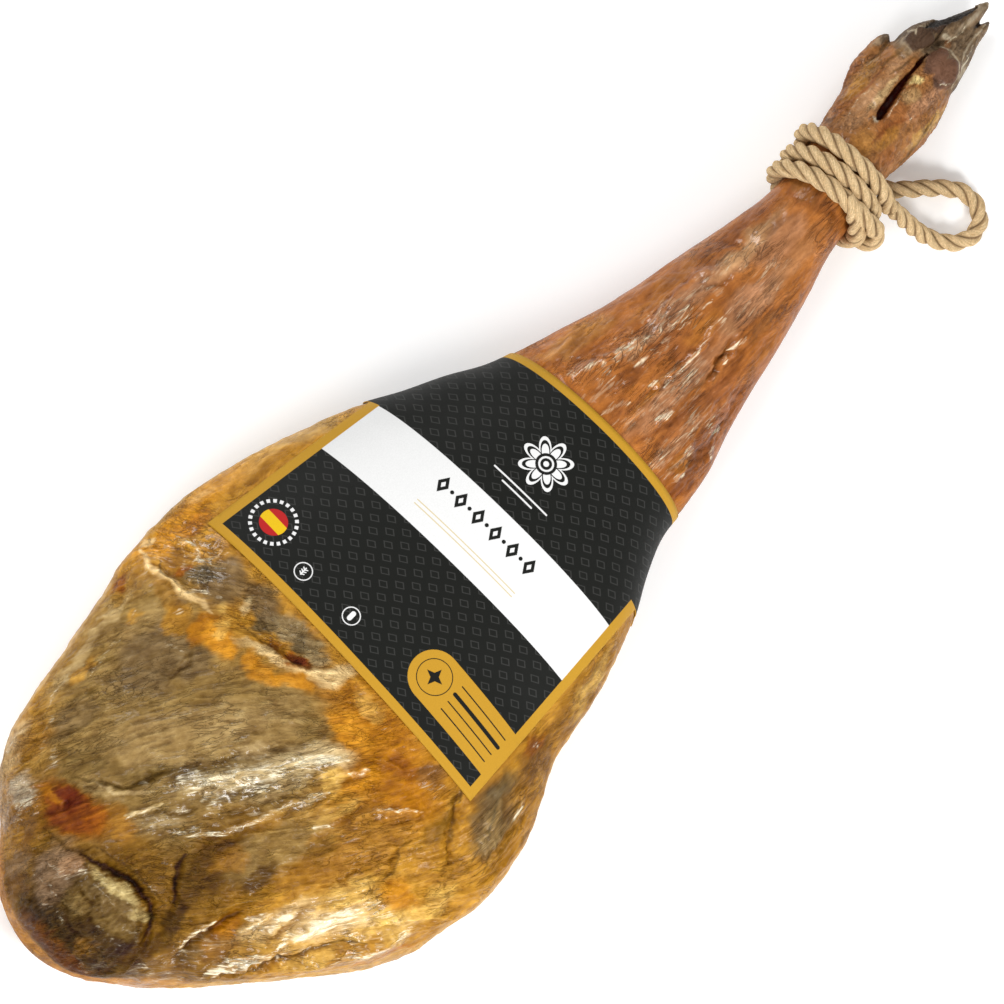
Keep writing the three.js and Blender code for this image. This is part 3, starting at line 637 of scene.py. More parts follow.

# The pink, tan and cream strips along the shank's lengthwise ridges, under its glints, are pinkish film and painted
# highlight.
SHANK_SPOTS = [
    (COPPER, 70, 20, 95, 28, -6, 1), (RED_BROWN, 62, 2, 12, 10, 0, 0.5), (ORANGE, 44, 26, 26, 5, -14, 0.5),
    (RUST, 36, 7, 13, 4, -6, 0.8), (DEEP_AMBER, 78, 24, 34, 4, -2, 0.5), (RED_BROWN, 20, -4, 9, 3, -10, 0.5),
    (PINK, 80, 12, 36, 6, -4, 0.9), (COPPER, 20, 26, 14, 4, -26, 0.6), (TAN, 48, 14, 12, 3, -16, 0.7),
    (PINK, 48, -15, 36, 6, 0, 0.8), (PINK, 104, -11, 26, 7, 2, 0.8), (TAN, 87, -11, 6, 4, -40, 0.5),
    (AMBER, 80, -2, 13, 4, 0, 0.35), (DEEP_AMBER, 36, -8, 14, 2, -4, 0.9),
    (RED_BROWN, 44, -28, 30, 2.4, 0, 0.5), (PINK, 30, -34, 20, 4, 4, 0.6), (PINK, 13, -36, 3, 4, 0, 0.7),
    (DEEP_AMBER, 21, -43, 9, 3, 0, 0.8), (RUST, 40, -43, 13, 4, 10, 1), (BLOOD, 38, -45, 16, 3, 10, 0.6),
    (RED_BROWN, 54, -42, 22, 5, 10, 1), (RUST, 22, -50, 20, 4, 5, 0.9), (DEEP_AMBER, 92, -34, 14, 3, 10, 0.4),
    (RED_BROWN, 66, -31, 16, 4, 6, 0.7), (SHANK_RIM, 70, -44, 40, 4, 12, 0.8), (TAN, 126, 9, 26, 6, 0, 0.9),
    (RUST, 100, -25, 20, 4, 4, 0.5), (CREAM, 126, 10, 24, 4, 0, 0.22), (PINK, 82, 13, 26, 3, -4, 0.2),
    (UMBER, 102, -24, 12, 3, 4, 0.4), (TAN, 132, -12, 26, 5, 4, 0.4), (RED_BROWN, 128, 19, 26, 4, -6, 0.8),
    (HONEY, 30, 40, 22, 5, -16, 0.3), (PINK, 140, 0, 18, 8, 0, 0.7), (RED_BROWN, 164, 12, 6, 12, -6, 0.7),
    (BROWN, 166, 10, 4, 11, -6, 0.5), (BLOOD, 167, -6, 4, 13, 0, 0.6),
]
# Most of these dark lines lie in grooves of FOLDS and are painted shade along them, over the skin's own red-brown.
SHANK_LINES = [
    (RED_BROWN, 1.3, 0.6, [(13, -19), (24, -22), (36, -26), (48, -27), (60, -26)]),
    (UMBER, 1.0, 0.75, [(62, -26), (69, -22), (76, -20), (81, -18)]),
    (BLOOD, 0.9, 0.6, [(84, -19), (98, -19), (118, -18)]), (CREASE_SHADE, 0.9, 0.6, [(12, -30), (18, -31)]),
    (UMBER, 0.9, 0.6, [(50, -20), (56, -22), (64, -22)]), (RED_BROWN, 1.4, 0.6, [(20, 33), (34, 29), (50, 24)]),
    (RED_BROWN, 1.2, 0.6, [(58, 18), (74, 19), (92, 19), (104, 15)]),
    (UMBER, 0.8, 0.6, [(36, -3), (46, -6), (58, -7)]), (UMBER, 1.0, 0.5, [(14, -12), (22, -14)]),
    (RUST, 1.0, 0.7, [(40, -47), (56, -44), (70, -40)]), (UMBER, 0.8, 0.5, [(88, 12), (96, 8), (104, 6)]),
]

FOOT_SPOTS = [
    (TAN, 212, 16, 12, 5, 0, 0.45), (TAN, 226, 18, 14, 3.4, 0, 0.65), (RED_BROWN, 222, 2, 12, 6, 0, 0.5),
    (RED_BROWN, 212, 26, 10, 4, 10, 0.5), (OCHRE, 226, 28, 14, 3, 4, 0.4),
    (RED_BROWN, 224, 34, 12, 2.4, 10, 0.6), (STRAW, 238, 3, 5, 4, 0, 0.35), (PINK, 240, -4, 14, 4, 0, 0.6),
    (HONEY, 232, -14, 16, 2.4, 0, 0.4), (STRAW, 230, 14.5, 13, 1.8, 4, 0.5), (TAN, 246, 20, 8, 4, 0, 0.6),
    (UMBER, 246, 31, 5, 1.2, -6, 0.8), (CHALK, 216.6, 8.0, 1.4, 1.3, 0, 0.8),
    (GREY_MEAT, 253, 23, 5, 6, -40, 0.7), (BONE, 246.4, 6.8, 3.6, 2.2, -30, 1),
    (BONE, 244, 7.8, 3.0, 0.9, -14, 0.9), (OCHRE, 203, 4, 8, 7, 0, 0.25), (RED_BROWN, 207, -9, 7, 4, 0, 0.4),
    (OCHRE, 214, -3, 8, 3, 0, 0.4), (OCHRE, 222, 26, 12, 3, 0, 0.25), (HORN, 248, 34.6, 6, 2.4, -10, 0.9),
    (HORN_DARK, 251, 33.4, 4, 2.6, -20, 0.9),
]
# Heel pads: a, b, half length, half width, degrees
PADS = [(261.5, 20.5, 7.6, 4.8, -30), (272, 18.2, 4.4, 2.2, -22), (259, 6.8, 8.4, 4.4, 2), (257.6, -1.6, 9, 5.4, 8)]
# Run of the gap between the claws, which the foot's colour darkens as painted shade
CLAW_CRACK = [(268, 22.8), (275, 19.6), (283, 15.4), (291, 11.2)]
TIP_STRETCH = 3.2
HOOF_X = 312.0
# The dark strip along the claw gap and the near-black spot between the toes' tips are painted shade in those gaps.
HORN_SPOTS = [
    (CHALK, 272, 11.6, 1.6, 2.6, 14, 0.8), (RUST, 270, 8.4, 2.0, 2.6, -50, 0.4),
    (CHALK, 254, 22, 4, 6, -30, 0.35), (HORN_DARK, 262, 27, 10, 1.6, -16, 0.7),
    (CREASE_SHADE, 278, 16.5, 12, 2.2, -27, 0.8), (CHALK, 265, -6.4, 5, 1.6, 24, 0.6),
    (CHALK, 284, 8.6, 9, 1.4, -4, 0.4), (HORN_DARK, 284, 12, 8, 2.0, -16, 0.8), (CHALK, 294, 9, 4, 2, -20, 0.3),
    (INK, 286.5, 4.2, 4, 1.0, 0, 0.9),
]
HORN_LINES = [
    (CHALK, 0.6, 0.7, [(266, 11), (268.5, 5), (267, -2), (262, -6), (254, -9)]),
    (CHALK, 0.6, 0.8, [(260, 28), (264, 25), (262, 23)]),
    (CHALK, 0.5, 0.7, [(265, 26), (270, 22), (277, 17.4)]),
    (INK, 0.6, 0.7, [(259, 15), (268, 14.8), (276, 15.8)]),
    (CHALK, 0.6, 0.6, [(268, -3), (276, 0.4), (288, 1.6)]),
    (INK, 0.5, 0.6, [(250, -11), (258, -10), (266, -7.6)]),
]
# Painted highlights (glints) on the foot: half width, strength, run
FOOT_GLEAMS = [
    (0.8, 0.7, [(218, 4), (226, 5.5), (234, 6.5)]), (1.0, 0.6, [(208, 20), (218, 21), (228, 20)]),
    (0.8, 0.7, [(226, -4), (233, -5)]), (0.8, 0.6, [(206, -12), (216, -12.5)]),
    (1.0, 0.6, [(232, 30), (242, 29)]), (0.7, 0.9, [(250, -3), (256, -6)]),
    (0.7, 0.8, [(262, -7), (270, -4), (278, -1)]), (0.6, 0.8, [(268, 9), (276, 8), (286, 8)]),
    (0.7, 0.7, [(256, 25), (262, 27)]), (0.8, 0.6, [(210, 8), (214, 2)]),
]
FOOT_LINES = [
    (UMBER, 0.9, 0.7, [(232, 32), (242, 30), (249, 29)]), (UMBER, 0.8, 0.7, [(238, 19), (246, 17), (254, 16)]),
    (UMBER, 0.8, 0.6, [(236, 24), (243, 25), (250, 23)]),
    (RED_BROWN, 0.9, 0.6, [(206, 1), (220, 1), (234, -7)]),
    (UMBER, 0.9, 0.6, [(208, -16.5), (222, -16), (240, -12)]),
    (RED_BROWN, 0.8, 0.6, [(212, 23), (226, 22), (240, 24)]),
]


def warp_of(points, size, amount, seed):
    return cloud(points, size, seed) * amount, cloud(points, size, seed + 40) * amount


def blotches(colour, points, size, amount, seed):
    """Lightens the colour in pale patches and darkens it in warm ones."""
    colour *= np.exp(amount * cloud(points, size, seed)[:, None] * BLOTCH_TINT)


# Materials

class Graph:
    """Builds a material's nodes in a few words."""

    def __init__(self, name):
        self.material = bpy.data.materials.new(name)
        self.material.use_nodes = True
        self.tree = self.material.node_tree
        self.tree.nodes.clear()
        self.shader = self.tree.nodes.new("ShaderNodeBsdfPrincipled")
        output = self.tree.nodes.new("ShaderNodeOutputMaterial")
        self.tree.links.new(self.shader.outputs[0], output.inputs["Surface"])

    def put(self, socket, value):
        if isinstance(value, bpy.types.NodeSocket):
            self.tree.links.new(value, socket)
        else:
            socket.default_value = value

    def node(self, kind, output=0, inputs=None, **settings):
        made = self.tree.nodes.new("ShaderNode" + kind)
        for key, value in settings.items():
            setattr(made, key, value)
        for key, value in (inputs or {}).items():
            self.put(made.inputs[key], value)
        return made.outputs[output]

    def math(self, operation, *values, clamp=False):
        return self.node("Math", operation=operation, use_clamp=clamp, inputs=dict(enumerate(values)))

    def add(self, first, second):
        return self.math("ADD", first, second)

    def less(self, first, second):
        return self.math("SUBTRACT", first, second)

    def times(self, first, second):
        return self.math("MULTIPLY", first, second)

    def absolute(self, value):
        return self.math("ABSOLUTE", value)

    def length(self, x, y):
        return self.math("SQRT", self.add(self.times(x, x), self.times(y, y)))

    def attribute(self, name, output="Color"):
        return self.node("Attribute", output, attribute_name=name)

    def noise(self, vector, scale, detail=3.0, roughness=0.55, distortion=0.0, **settings):
        return self.node("TexNoise", **settings, inputs={
            "Vector": vector, "Scale": scale, "Detail": detail, "Roughness": roughness,
            "Distortion": distortion})

    def ridged(self, vector, detail, distortion):
        """Sharp crests between smooth valleys."""
        return self.noise(vector, 1.0, detail, 0.5, distortion, noise_type="RIDGED_MULTIFRACTAL", normalize=True)

    def threads(self, vector, width, distortion=1.2):
        """Thin wavy lines where a noise passes its middle: 1 on the line, 0 a little beside it."""
        away = self.absolute(self.less(self.noise(vector, 1.0, 3, 0.6, distortion), 0.5))
        return self.ramp(away, width, 0.0)

    def stretch(self, vector, scale):
        return self.node("Mapping", inputs={"Vector": vector, "Scale": scale})

    def ramp(self, value, low, high, start=0.0, end=1.0):
        return self.node("MapRange", inputs={
            "Value": value, "From Min": low, "From Max": high, "To Min": start, "To Max": end})

    def mix(self, amount, first, second, blend="MIX"):
        return self.node("Mix", 2, data_type="RGBA", blend_type=blend, inputs={
            "Factor": amount, 6: first, 7: second})

    def bump(self, height, strength, distance, **normal):
        return self.node("Bump", inputs={"Height": height, "Strength": strength, "Distance": distance, **normal})

    def finish(self, **sockets):
        for key, value in sockets.items():
            self.put(self.shader.inputs[key.replace("_", " ")], value)
        return self.material


def rgba(colour):
    return (*[float(c) for c in colour], 1.0)


# What the tint is multiplied by for the painted shade in the hollows and the painted light on the crests of the fine
# relief
DEEPER, PALER = (0.48, 0.40, 0.30, 1), (1.36, 1.44, 1.6, 1)
HEMP, HEMP_PALE, HEMP_DARK = tone(186, 150, 102), tone(240, 212, 166), tone(98, 64, 32)
MEAT_BUMP, HEMP_BUMP, CARD_WAVE, CARD_GRAIN = 0.0030, 0.0008, 0.002, 0.0002     # metres


def meat_material():
    """Cured meat and skin: painted tint with soft lumps and folds, and a film that wrinkles in patches. The lumps,
    folds and threads get painted shade in their hollows and painted light on their crests, and the glints are painted
    highlights.
    """
    g = Graph("cured_meat")
    place = g.node("TexCoord", "Object")
    fibre = g.attribute("fibre", "Vector")
    film, gleam = g.attribute("film", "Fac"), g.attribute("gleam", "Fac")
    tint = g.attribute("tint")
    lumps = g.noise(g.stretch(fibre, (0.10, 0.16, 0.16)), 1.0, 4, 0.55, distortion=1.0)
    folds = g.ridged(g.stretch(fibre, (0.06, 0.20, 0.18)), 4, distortion=0.6)
    strokes = g.noise(g.stretch(fibre, (0.10, 0.42, 0.36)), 1.0, 3, 0.5, distortion=0.8)
    stripes = g.noise(g.stretch(fibre, (0.10, 0.60, 0.5)), 1.0, 3, 0.6, distortion=0.9)
    pale = g.threads(g.stretch(fibre, (0.045, 0.20, 0.18)), 0.045)
    deep = g.threads(g.stretch(fibre, (0.050, 0.17, 0.20)), 0.030)
    pores = g.noise(place, 600, 3, 0.6)
    patch = g.times(g.ramp(g.noise(place, 42, 2, 0.5), 0.42, 0.60), g.ramp(film, 0.15, 0.9, 0.65, 1.0))
    lines = g.less(g.times(pale, 0.9), g.times(deep, 0.8))
    shade = g.times(lines, patch)
    for source, low, high, least, most in (
            (lumps, 0.3, 0.7, -0.50, 0.50), (folds, 0.15, 0.9, -0.32, 0.45), (pores, 0.3, 0.7, -0.12, 0.12),
            (strokes, 0.3, 0.7, -0.34, 0.34)):
        shade = g.add(shade, g.ramp(source, low, high, least, most))
    # Painted shade and painted light: darker where the bump's relief below is low, lighter where it is high, from the
    # same fields
    dark = g.times(g.ramp(shade, 0.0, -1.0), 0.75)
    light = g.times(g.ramp(shade, 0.0, 1.0), 0.70)
    colour = g.mix(dark, tint, g.mix(1.0, tint, DEEPER, "MULTIPLY"))
    colour = g.mix(light, colour, g.mix(1.0, tint, PALER, "MULTIPLY"))
    # Painted highlights: pale glints mixed into the colour on the gleam marks and along the pale threads
    shine = g.add(g.times(gleam, 1.1), g.ramp(stripes, 0.36, 0.64, -0.42, 0.36))
    shine = g.add(shine, g.times(g.times(pale, patch), 0.45))
    soft, shine = g.ramp(shine, 0.55, 1.05), g.ramp(shine, 0.92, 1.35)
    colour = g.mix(g.times(soft, 0.50), colour, g.mix(0.42, tint, rgba(GLINT)))
    colour = g.mix(g.times(shine, 0.88), colour, rgba(GLINT))
    height = g.times(patch, g.less(g.times(pale, 0.26), g.times(deep, 0.24)))
    for source, amount in ((folds, 0.45), (lumps, 0.60), (strokes, 0.22), (pores, 0.03)):
        height = g.add(height, g.times(source, amount))
    rough = g.less(g.attribute("dull", "Fac"), g.times(shine, 0.2))
    rough = g.add(rough, g.ramp(pores, 0.3, 0.7, -0.06, 0.10))
    coat = g.add(g.ramp(gleam, 0.0, 1.0, 0.02, 0.3), g.ramp(film, 0.3, 1.0, 0.0, 0.40))
    return g.finish(Base_Color=colour, Roughness=rough, Normal=g.bump(height, 1.0, MEAT_BUMP), Coat_Weight=coat,
                    Coat_Roughness=0.20, Specular_IOR_Level=0.12)


def rope_material():
    """Laid hemp: fine yarns along the strands, and grooves between them darkened with painted shade."""
    g = Graph("laid_hemp")
    yarn = g.noise(g.attribute("lay", "Vector"), 1.0, 4, 0.6)
    dust = g.noise(g.node("TexCoord", "Object"), 1100, 5, 0.7)
    base = g.mix(g.ramp(yarn, 0.3, 0.7), rgba(HEMP), rgba(HEMP_PALE))
    colour = g.mix(g.times(g.attribute("groove", "Fac"), 0.75), base, rgba(HEMP_DARK))
    colour = g.mix(0.8, colour, g.ramp(dust, 0.3, 0.7, 0.62, 1.25), "MULTIPLY")
    bump = g.bump(yarn, 0.8, HEMP_BUMP, Normal=g.bump(dust, 0.8, HEMP_BUMP))
    return g.finish(Base_Color=colour, Roughness=0.92, Normal=bump, Specular_IOR_Level=0.15)


# Body of the ham

FIBRE_SLOPE, FIBRE_FAN_FAR, FIBRE_FAN_NEAR = 0.80, 0.0033, 0.002
FIBRE_BEND = (-205, -130)         # a where the fibres start and finish turning lengthwise
FIBRE_A = -250                    # a from which the fibres' pattern is measured
SHANK_STRETCH = 0.4               # how much longer the fibres' pattern is along the shank


def fibre_place(a, b):
    """Millimetres along and across the fibres. They fan out over the meat face and run lengthwise
    along the neck and the shank."""
    step = 2.0
    line = np.arange(-420.0, 320.0, step)
    slant = 1 - smooth_step(*FIBRE_BEND, line)
    travel = np.cumsum(slant) * step
    reach = np.interp(a, line, travel) - np.interp(FIBRE_A, line, travel)
    slope = FIBRE_SLOPE - FIBRE_FAN_FAR * np.maximum(b, 0) + FIBRE_FAN_NEAR * np.minimum(b, 0)
    across = b + reach * slope
    along = a - FIBRE_A - slope * b * np.interp(a, line, slant)
    tight = 1 / np.hypot(1, FIBRE_SLOPE * np.interp(a, line, slant))
    return along * tight - SHANK_STRETCH * np.maximum(a, 0), across * tight


def crest(points, long, wide, seed):
    return ridges(points, (long, wide, 20.0), seed)


def on_line(start, end, at):
    """Second coordinate of the line through two points where its first one is at."""
    return start[1] + (at - start[0]) * (end[1] - start[1]) / (end[0] - start[0])


def under_label(x, y):
    """1 under the label and at its edges, 0 a few millimetres outside."""
    butt_edge = on_line(NEAR_BUTT[::-1], FAR_BUTT[::-1], y)
    far = np.where(x > FAR_NECK[0], 1.0, smooth_step(EDGE_SOFT, 0, y - on_line(FAR_BUTT, FAR_NECK, x)))
    near = np.where(x > NEAR_NECK[0], 1.0, smooth_step(EDGE_SOFT, 0, on_line(NEAR_BUTT, NEAR_NECK, x) - y))
    neck = smooth_step(LABEL_NECK_X + EDGE_SOFT, LABEL_NECK_X, x)
    return smooth_step(-EDGE_SOFT, 0, x - butt_edge) * neck * far * near


def oval_mask(a, b, patches):
    return np.max([smooth_step(1.3, 0.6, oval(a, b, *patch)) for patch in patches], axis=0)


KNOB_PLACE = (-352, 12)           # a, b
# Ovals: a, b, half length, half width, degrees
SMOOTH_FAT = [(-191, -16, 9, 15, 0), (-195, -58, 8, 18, 10), (-235, -92, 11, 11, -30), (-205, 62, 9, 18, 10),
              (-211, 84, 7, 9, 0), (-193, 22, 6, 14, 24), (-305, -42, 12, 6, -8), (-244, -96, 12, 10, 0)]
STONY = [(-176, 48, 12, 30, 0), (-168, -102, 26, 11, 25)]


def body_height(points, up, a, b, fibre):
    """Height of the relief in millimetres over the plain sections. up is 1 where it faces up."""
    x, y = points[:, 0], points[:, 1]
    face = smooth_step(0.1, 0.6, up)
    height = np.zeros(len(points))
    for tall, wide, run in SOLID_RELIEF:
        d, _ = run_distance(x, y, run)
        height += face * tall * np.exp(-(d / wide) ** 2)
    wa, wb = a + 1.8 * cloud(points, 8, 25, 3), b + 1.8 * cloud(points, 8, 26, 3)
    for tall, wide, run in FOLDS:
        i = near_box(wa, wb, run, 3 * wide)
        d, place = run_distance(wa[i], wb[i], run)
        taper = np.clip(5 * place * (1 - place), 0, 1)
        height[i] += face[i] * tall * taper * np.exp(-(d / wide) ** 2)
    butt = smooth_step(-120, -170, x)
    knob = smooth_step(40, 30, np.hypot(a - KNOB_PLACE[0], b - KNOB_PLACE[1]))
    rim = smooth_step(0.45, 0.25, up)
    patchy = 0.35 + 1.15 * smooth_step(-0.5, 0.6, cloud(points, 24, 27, 2))
    calm = 1 - 0.75 * oval_mask(a, b, SMOOTH_FAT)
    muscle = smooth_step(-46, -26, b + 0.3 * (a + 250)) * (1 - knob)
    fat = (1 - muscle) * (1 - knob) * butt
    height += face * butt * muscle * calm * (1 - rim) * (
        1.9 * (crest(fibre, 36, 9, 3) - 0.4) + patchy * 0.8 * (crest(fibre, 13, 2.8, 5) - 0.4))
    height += face * fat * calm * (2.9 * (crest(fibre, 44, 12, 7) - 0.4)
                                   + patchy * 1.0 * (crest(fibre, 16, 3.4, 9) - 0.4))
    height += face * oval_mask(a, b, STONY) * 1.4 * (ridges(points, 6, 19) - 0.45)
    height += face * knob * (1.2 * cloud(points, 10, 11) + 1.5 * (crest(points, 16, 5, 13) - 0.4)
                             + 0.8 * (crest(fibre, 9, 2.2, 14) - 0.4))
    shank = smooth_step(20, 60, x)
    even = (1 - 0.75 * smooth_step(105, 150, x)) * (0.1 + 0.9 * smooth_step(0.1, 0.7, up))
    height += shank * even * (1.1 * (crest(fibre, 40, 9, 15) - 0.4)
                              + patchy * 0.6 * (crest(fibre, 12, 2.2, 17) - 0.4))
    height += (0.5 * cloud(points, 9, 21, 2) + 0.16 * cloud(points, 2.5, 22, 2) + 0.4 * cloud(points, 34, 23, 2)) * (
        1 - 0.75 * shank * smooth_step(0.6, 0.2, up))
    hidden = under_label(x, y)
    return (height * (1 - hidden) - 0.1 * hidden) * smooth_step(BUTT_END_X, BUTT_END_X + 10, x)


# Sharper folds and grooves than the solid has, in the leaning plane: height, width, run
FOLDS = [
    (-2.8, 2.0, [(-333, 44), (-329, 34), (-325, 20), (-322, 8), (-323, -4), (-328, -12), (-340, -17),
                 (-352, -16)]), (-1.2, 1.2, [(-345, 30), (-342, 16), (-344, 2)]),
    (1.2, 1.4, [(-352, 34), (-349, 20), (-351, 4)]), (-1.0, 1.2, [(-358, 24), (-356, 10), (-357, -4)]),
    (1.6, 3.0, [(-331, 26), (-330, 12), (-331, -2)]),
    (1.4, 1.6, [(-321, 30), (-318, 16), (-318, 2), (-319, -10)]),
    (-2.6, 2.4, [(-322, -18), (-314, -12), (-306, -6), (-300, -2), (-290, 0)]),
    (-2.6, 1.8, [(-346, -27), (-330, -34), (-312, -37), (-300, -39), (-290, -44)]),
    (2.2, 2.4, [(-340, -32), (-326, -31), (-314, -33), (-302, -36)]),
    (-2.4, 2.0, [(-304, 68), (-299, 56), (-291, 44), (-283, 40), (-272, 36), (-262, 32)]),
    (2.2, 3.2, [(-304, 58), (-296, 48), (-288, 38), (-280, 30)]),
    (1.6, 1.4, [(-303, 35), (-294, 30), (-284, 25)]),
    (-1.8, 2.0, [(-300, 30), (-290, 25), (-282, 18), (-272, 10)]),
    (2.2, 1.8, [(-291, 12), (-286, 6), (-282, 1), (-275, -5), (-267, -11), (-256, -15), (-240, -20),
                (-230, -25)]), (-2.6, 3.2, [(-284, 10), (-272, 1), (-256, -6), (-240, -13), (-226, -18)]),
    (3.2, 5.0, [(-272, 28), (-262, 18), (-248, 7), (-234, -3), (-216, -13), (-204, -25)]),
    (-2.0, 2.6, [(-262, 32), (-252, 22), (-240, 14), (-226, 4), (-212, -6)]),
    (-1.8, 2.4, [(-246, -42), (-232, -46), (-214, -48), (-202, -54)]),
    (3.0, 3.0, [(-334, -46), (-322, -52), (-310, -59), (-298, -64), (-288, -67)]),
    (2.2, 2.2, [(-304, -46), (-294, -50), (-284, -52)]), (2.2, 2.2, [(-294, -57), (-284, -57), (-274, -61)]),
    (-1.6, 3.0, [(-292, -60), (-278, -64), (-266, -68)]),
    (1.6, 1.4, [(-326, -56), (-314, -64), (-302, -72), (-290, -82), (-276, -92)]),
    (-1.6, 1.4, [(-332, -50), (-316, -59), (-304, -66), (-296, -70)]),
    (1.6, 1.3, [(-300, -53), (-286, -60), (-270, -66), (-254, -74), (-240, -84)]),
    (-1.6, 1.3, [(-290, -63), (-274, -69), (-258, -76), (-244, -84)]),
    (1.4, 1.3, [(-258, -92), (-246, -98), (-232, -100)]), (-1.5, 1.3, [(-262, -60), (-248, -66), (-236, -70)]),
    (1.5, 1.2, [(-236, -34), (-226, -32), (-214, -36), (-206, -44)]),
    (1.3, 1.2, [(-196, -30), (-190, -40), (-186, -52)]),
    (3.4, 4.6, [(-294, -67), (-276, -71), (-260, -78), (-246, -88)]),
    (-2.6, 2.0, [(-314, -63), (-302, -68), (-292, -75), (-282, -80), (-270, -89), (-260, -99)]),
    (2.0, 2.2, [(-316, -72), (-306, -80), (-296, -88)]), (2.0, 2.4, [(-272, -97), (-260, -102), (-246, -108)]),
    (1.8, 2.6, [(-250, -88), (-245, -96), (-243, -106)]),
    (-2.2, 1.8, [(-242, -80), (-232, -83), (-222, -78), (-212, -77)]),
    (-3.0, 2.4, [(-170, -76), (-180, -82), (-190, -88), (-202, -97), (-212, -102)]),
    (1.8, 1.4, [(-212, -52), (-205, -61), (-198, -68), (-194, -74)]),
    (-1.4, 1.6, [(-216, -56), (-208, -65), (-200, -73)]), (1.8, 2.0, [(-210, -30), (-204, -35), (-197, -39)]),
    (1.4, 2.4, [(-216, -26), (-206, -30)]),
    (-3.0, 2.2, [(-190, 50), (-187, 40), (-185, 28), (-181, 18), (-174, 10)]),
    (1.8, 2.6, [(-197, 52), (-192, 40), (-188, 28), (-182, 16), (-172, 4)]),
    (2.0, 1.8, [(-201, 124), (-203, 112), (-200, 100), (-200, 92), (-197, 80)]),
    (-2.0, 1.6, [(-198, 112), (-198, 102), (-194, 94), (-190, 84)]),
    (1.6, 1.2, [(-186, 104), (-184, 110), (-179, 107), (-181, 99), (-176, 93), (-168, 87)]),
    (-1.6, 1.6, [(-240, 82), (-234, 68), (-222, 66), (-216, 72)]),
    (1.4, 1.6, [(-342, 80), (-334, 75), (-324, 73)]), (1.6, 3.0, [(-334, 90), (-327, 84), (-322, 80)]),
    (-2.2, 2.6, [(-328, 66), (-320, 60), (-312, 62)]),
    # shank
    (-1.0, 1.6, [(12, -18), (24, -22), (36, -26), (50, -27), (60, -26)]),
    (-2.0, 1.2, [(58, -26), (66, -24), (72, -21), (80, -19), (90, -19)]),
    (1.6, 1.6, [(28, -18), (34, -20), (42, -21)]), (1.6, 1.4, [(70, -24), (78, -22), (92, -22)]),
    (1.6, 2.4, [(12, 30), (30, 21), (46, 16), (60, 12)]), (-1.4, 2.0, [(16, 10), (34, 9), (50, 5)]),
    (1.6, 1.4, [(34, -4), (46, -6), (60, -9), (74, -9), (84, -6), (92, -9)]),
    (-1.4, 1.4, [(34, -7), (46, -9), (58, -12)]), (1.2, 2.0, [(60, 18), (80, 18), (96, 17), (108, 11)]),
    (-1.2, 1.6, [(92, 11), (104, 6), (118, 5)]), (1.2, 1.2, [(10, -42), (24, -41), (36, -39)]),
    (1.2, 1.2, [(10, -47), (20, -47), (34, -51), (42, -49)]),
    (-1.2, 1.6, [(24, -46), (40, -46), (56, -44), (72, -39)]),
]


def cavity(height, rounds):
    """How far the surface stands above its own surroundings, from a grid of heights."""
    low = height
    for _ in range(rounds):
        low = (np.roll(low, 1, 1) + np.roll(low, -1, 1) + 2 * low) / 4
        padded = np.pad(low, ((1, 1), (0, 0)), mode="edge")
        low = (padded[:-2] + padded[2:] + 2 * low) / 4
    return height - low


def drawn_out(fibre, long, wide=1.0):
    """Flat places along the fibres. Noise on them comes out that much longer and wider."""
    return np.column_stack([fibre[:, 0] / long, fibre[:, 1] / wide, np.zeros(len(fibre))])


def streaky_warp(points, fibre, amount):
    """Shifts that ravel the edges of the painted patches along the fibres."""
    slow = drawn_out(fibre, 16, 3)
    pull = cell_noise(slow, 41) + 0.5 * cell_noise(slow * (1.7, 2.3, 1), 43)
    wa = amount * pull + 3.0 * cloud(points, 14, 31, 4)
    wb = -0.6 * amount * pull * smooth_step(-130, -200, points[:, 0])
    return wa, wb + 3.0 * cloud(points, 14, 35, 4)


def rind_colour(points, x, y):
    """Skin of the sides: golden along the near side, orange round the knob, tan on the far side."""
    rind = np.tile(RIND, (len(points), 1))
    for paint, weight in ((RIND_TAN, smooth_step(20, 70, y)), (RIND_ORANGE, smooth_step(-300, -335, x)),
                          (SHANK_RIM, smooth_step(-40, 20, x)),
                          (CARAMEL, 0.6 * smooth_step(-0.1, 0.7, cloud(points, 34, 71)))):
        blend(rind, paint, weight)
    blotches(rind, points, 12, 0.14, 73)
    blotches(rind, points, 4, 0.10, 74)
    return rind


# What the shank's colour is multiplied by, and what is added to that near the ankle
SHANK_TINT, ANKLE_TINT = np.array([0.96, 0.89, 0.80]), np.array([0.01, 0.04, 0.08])


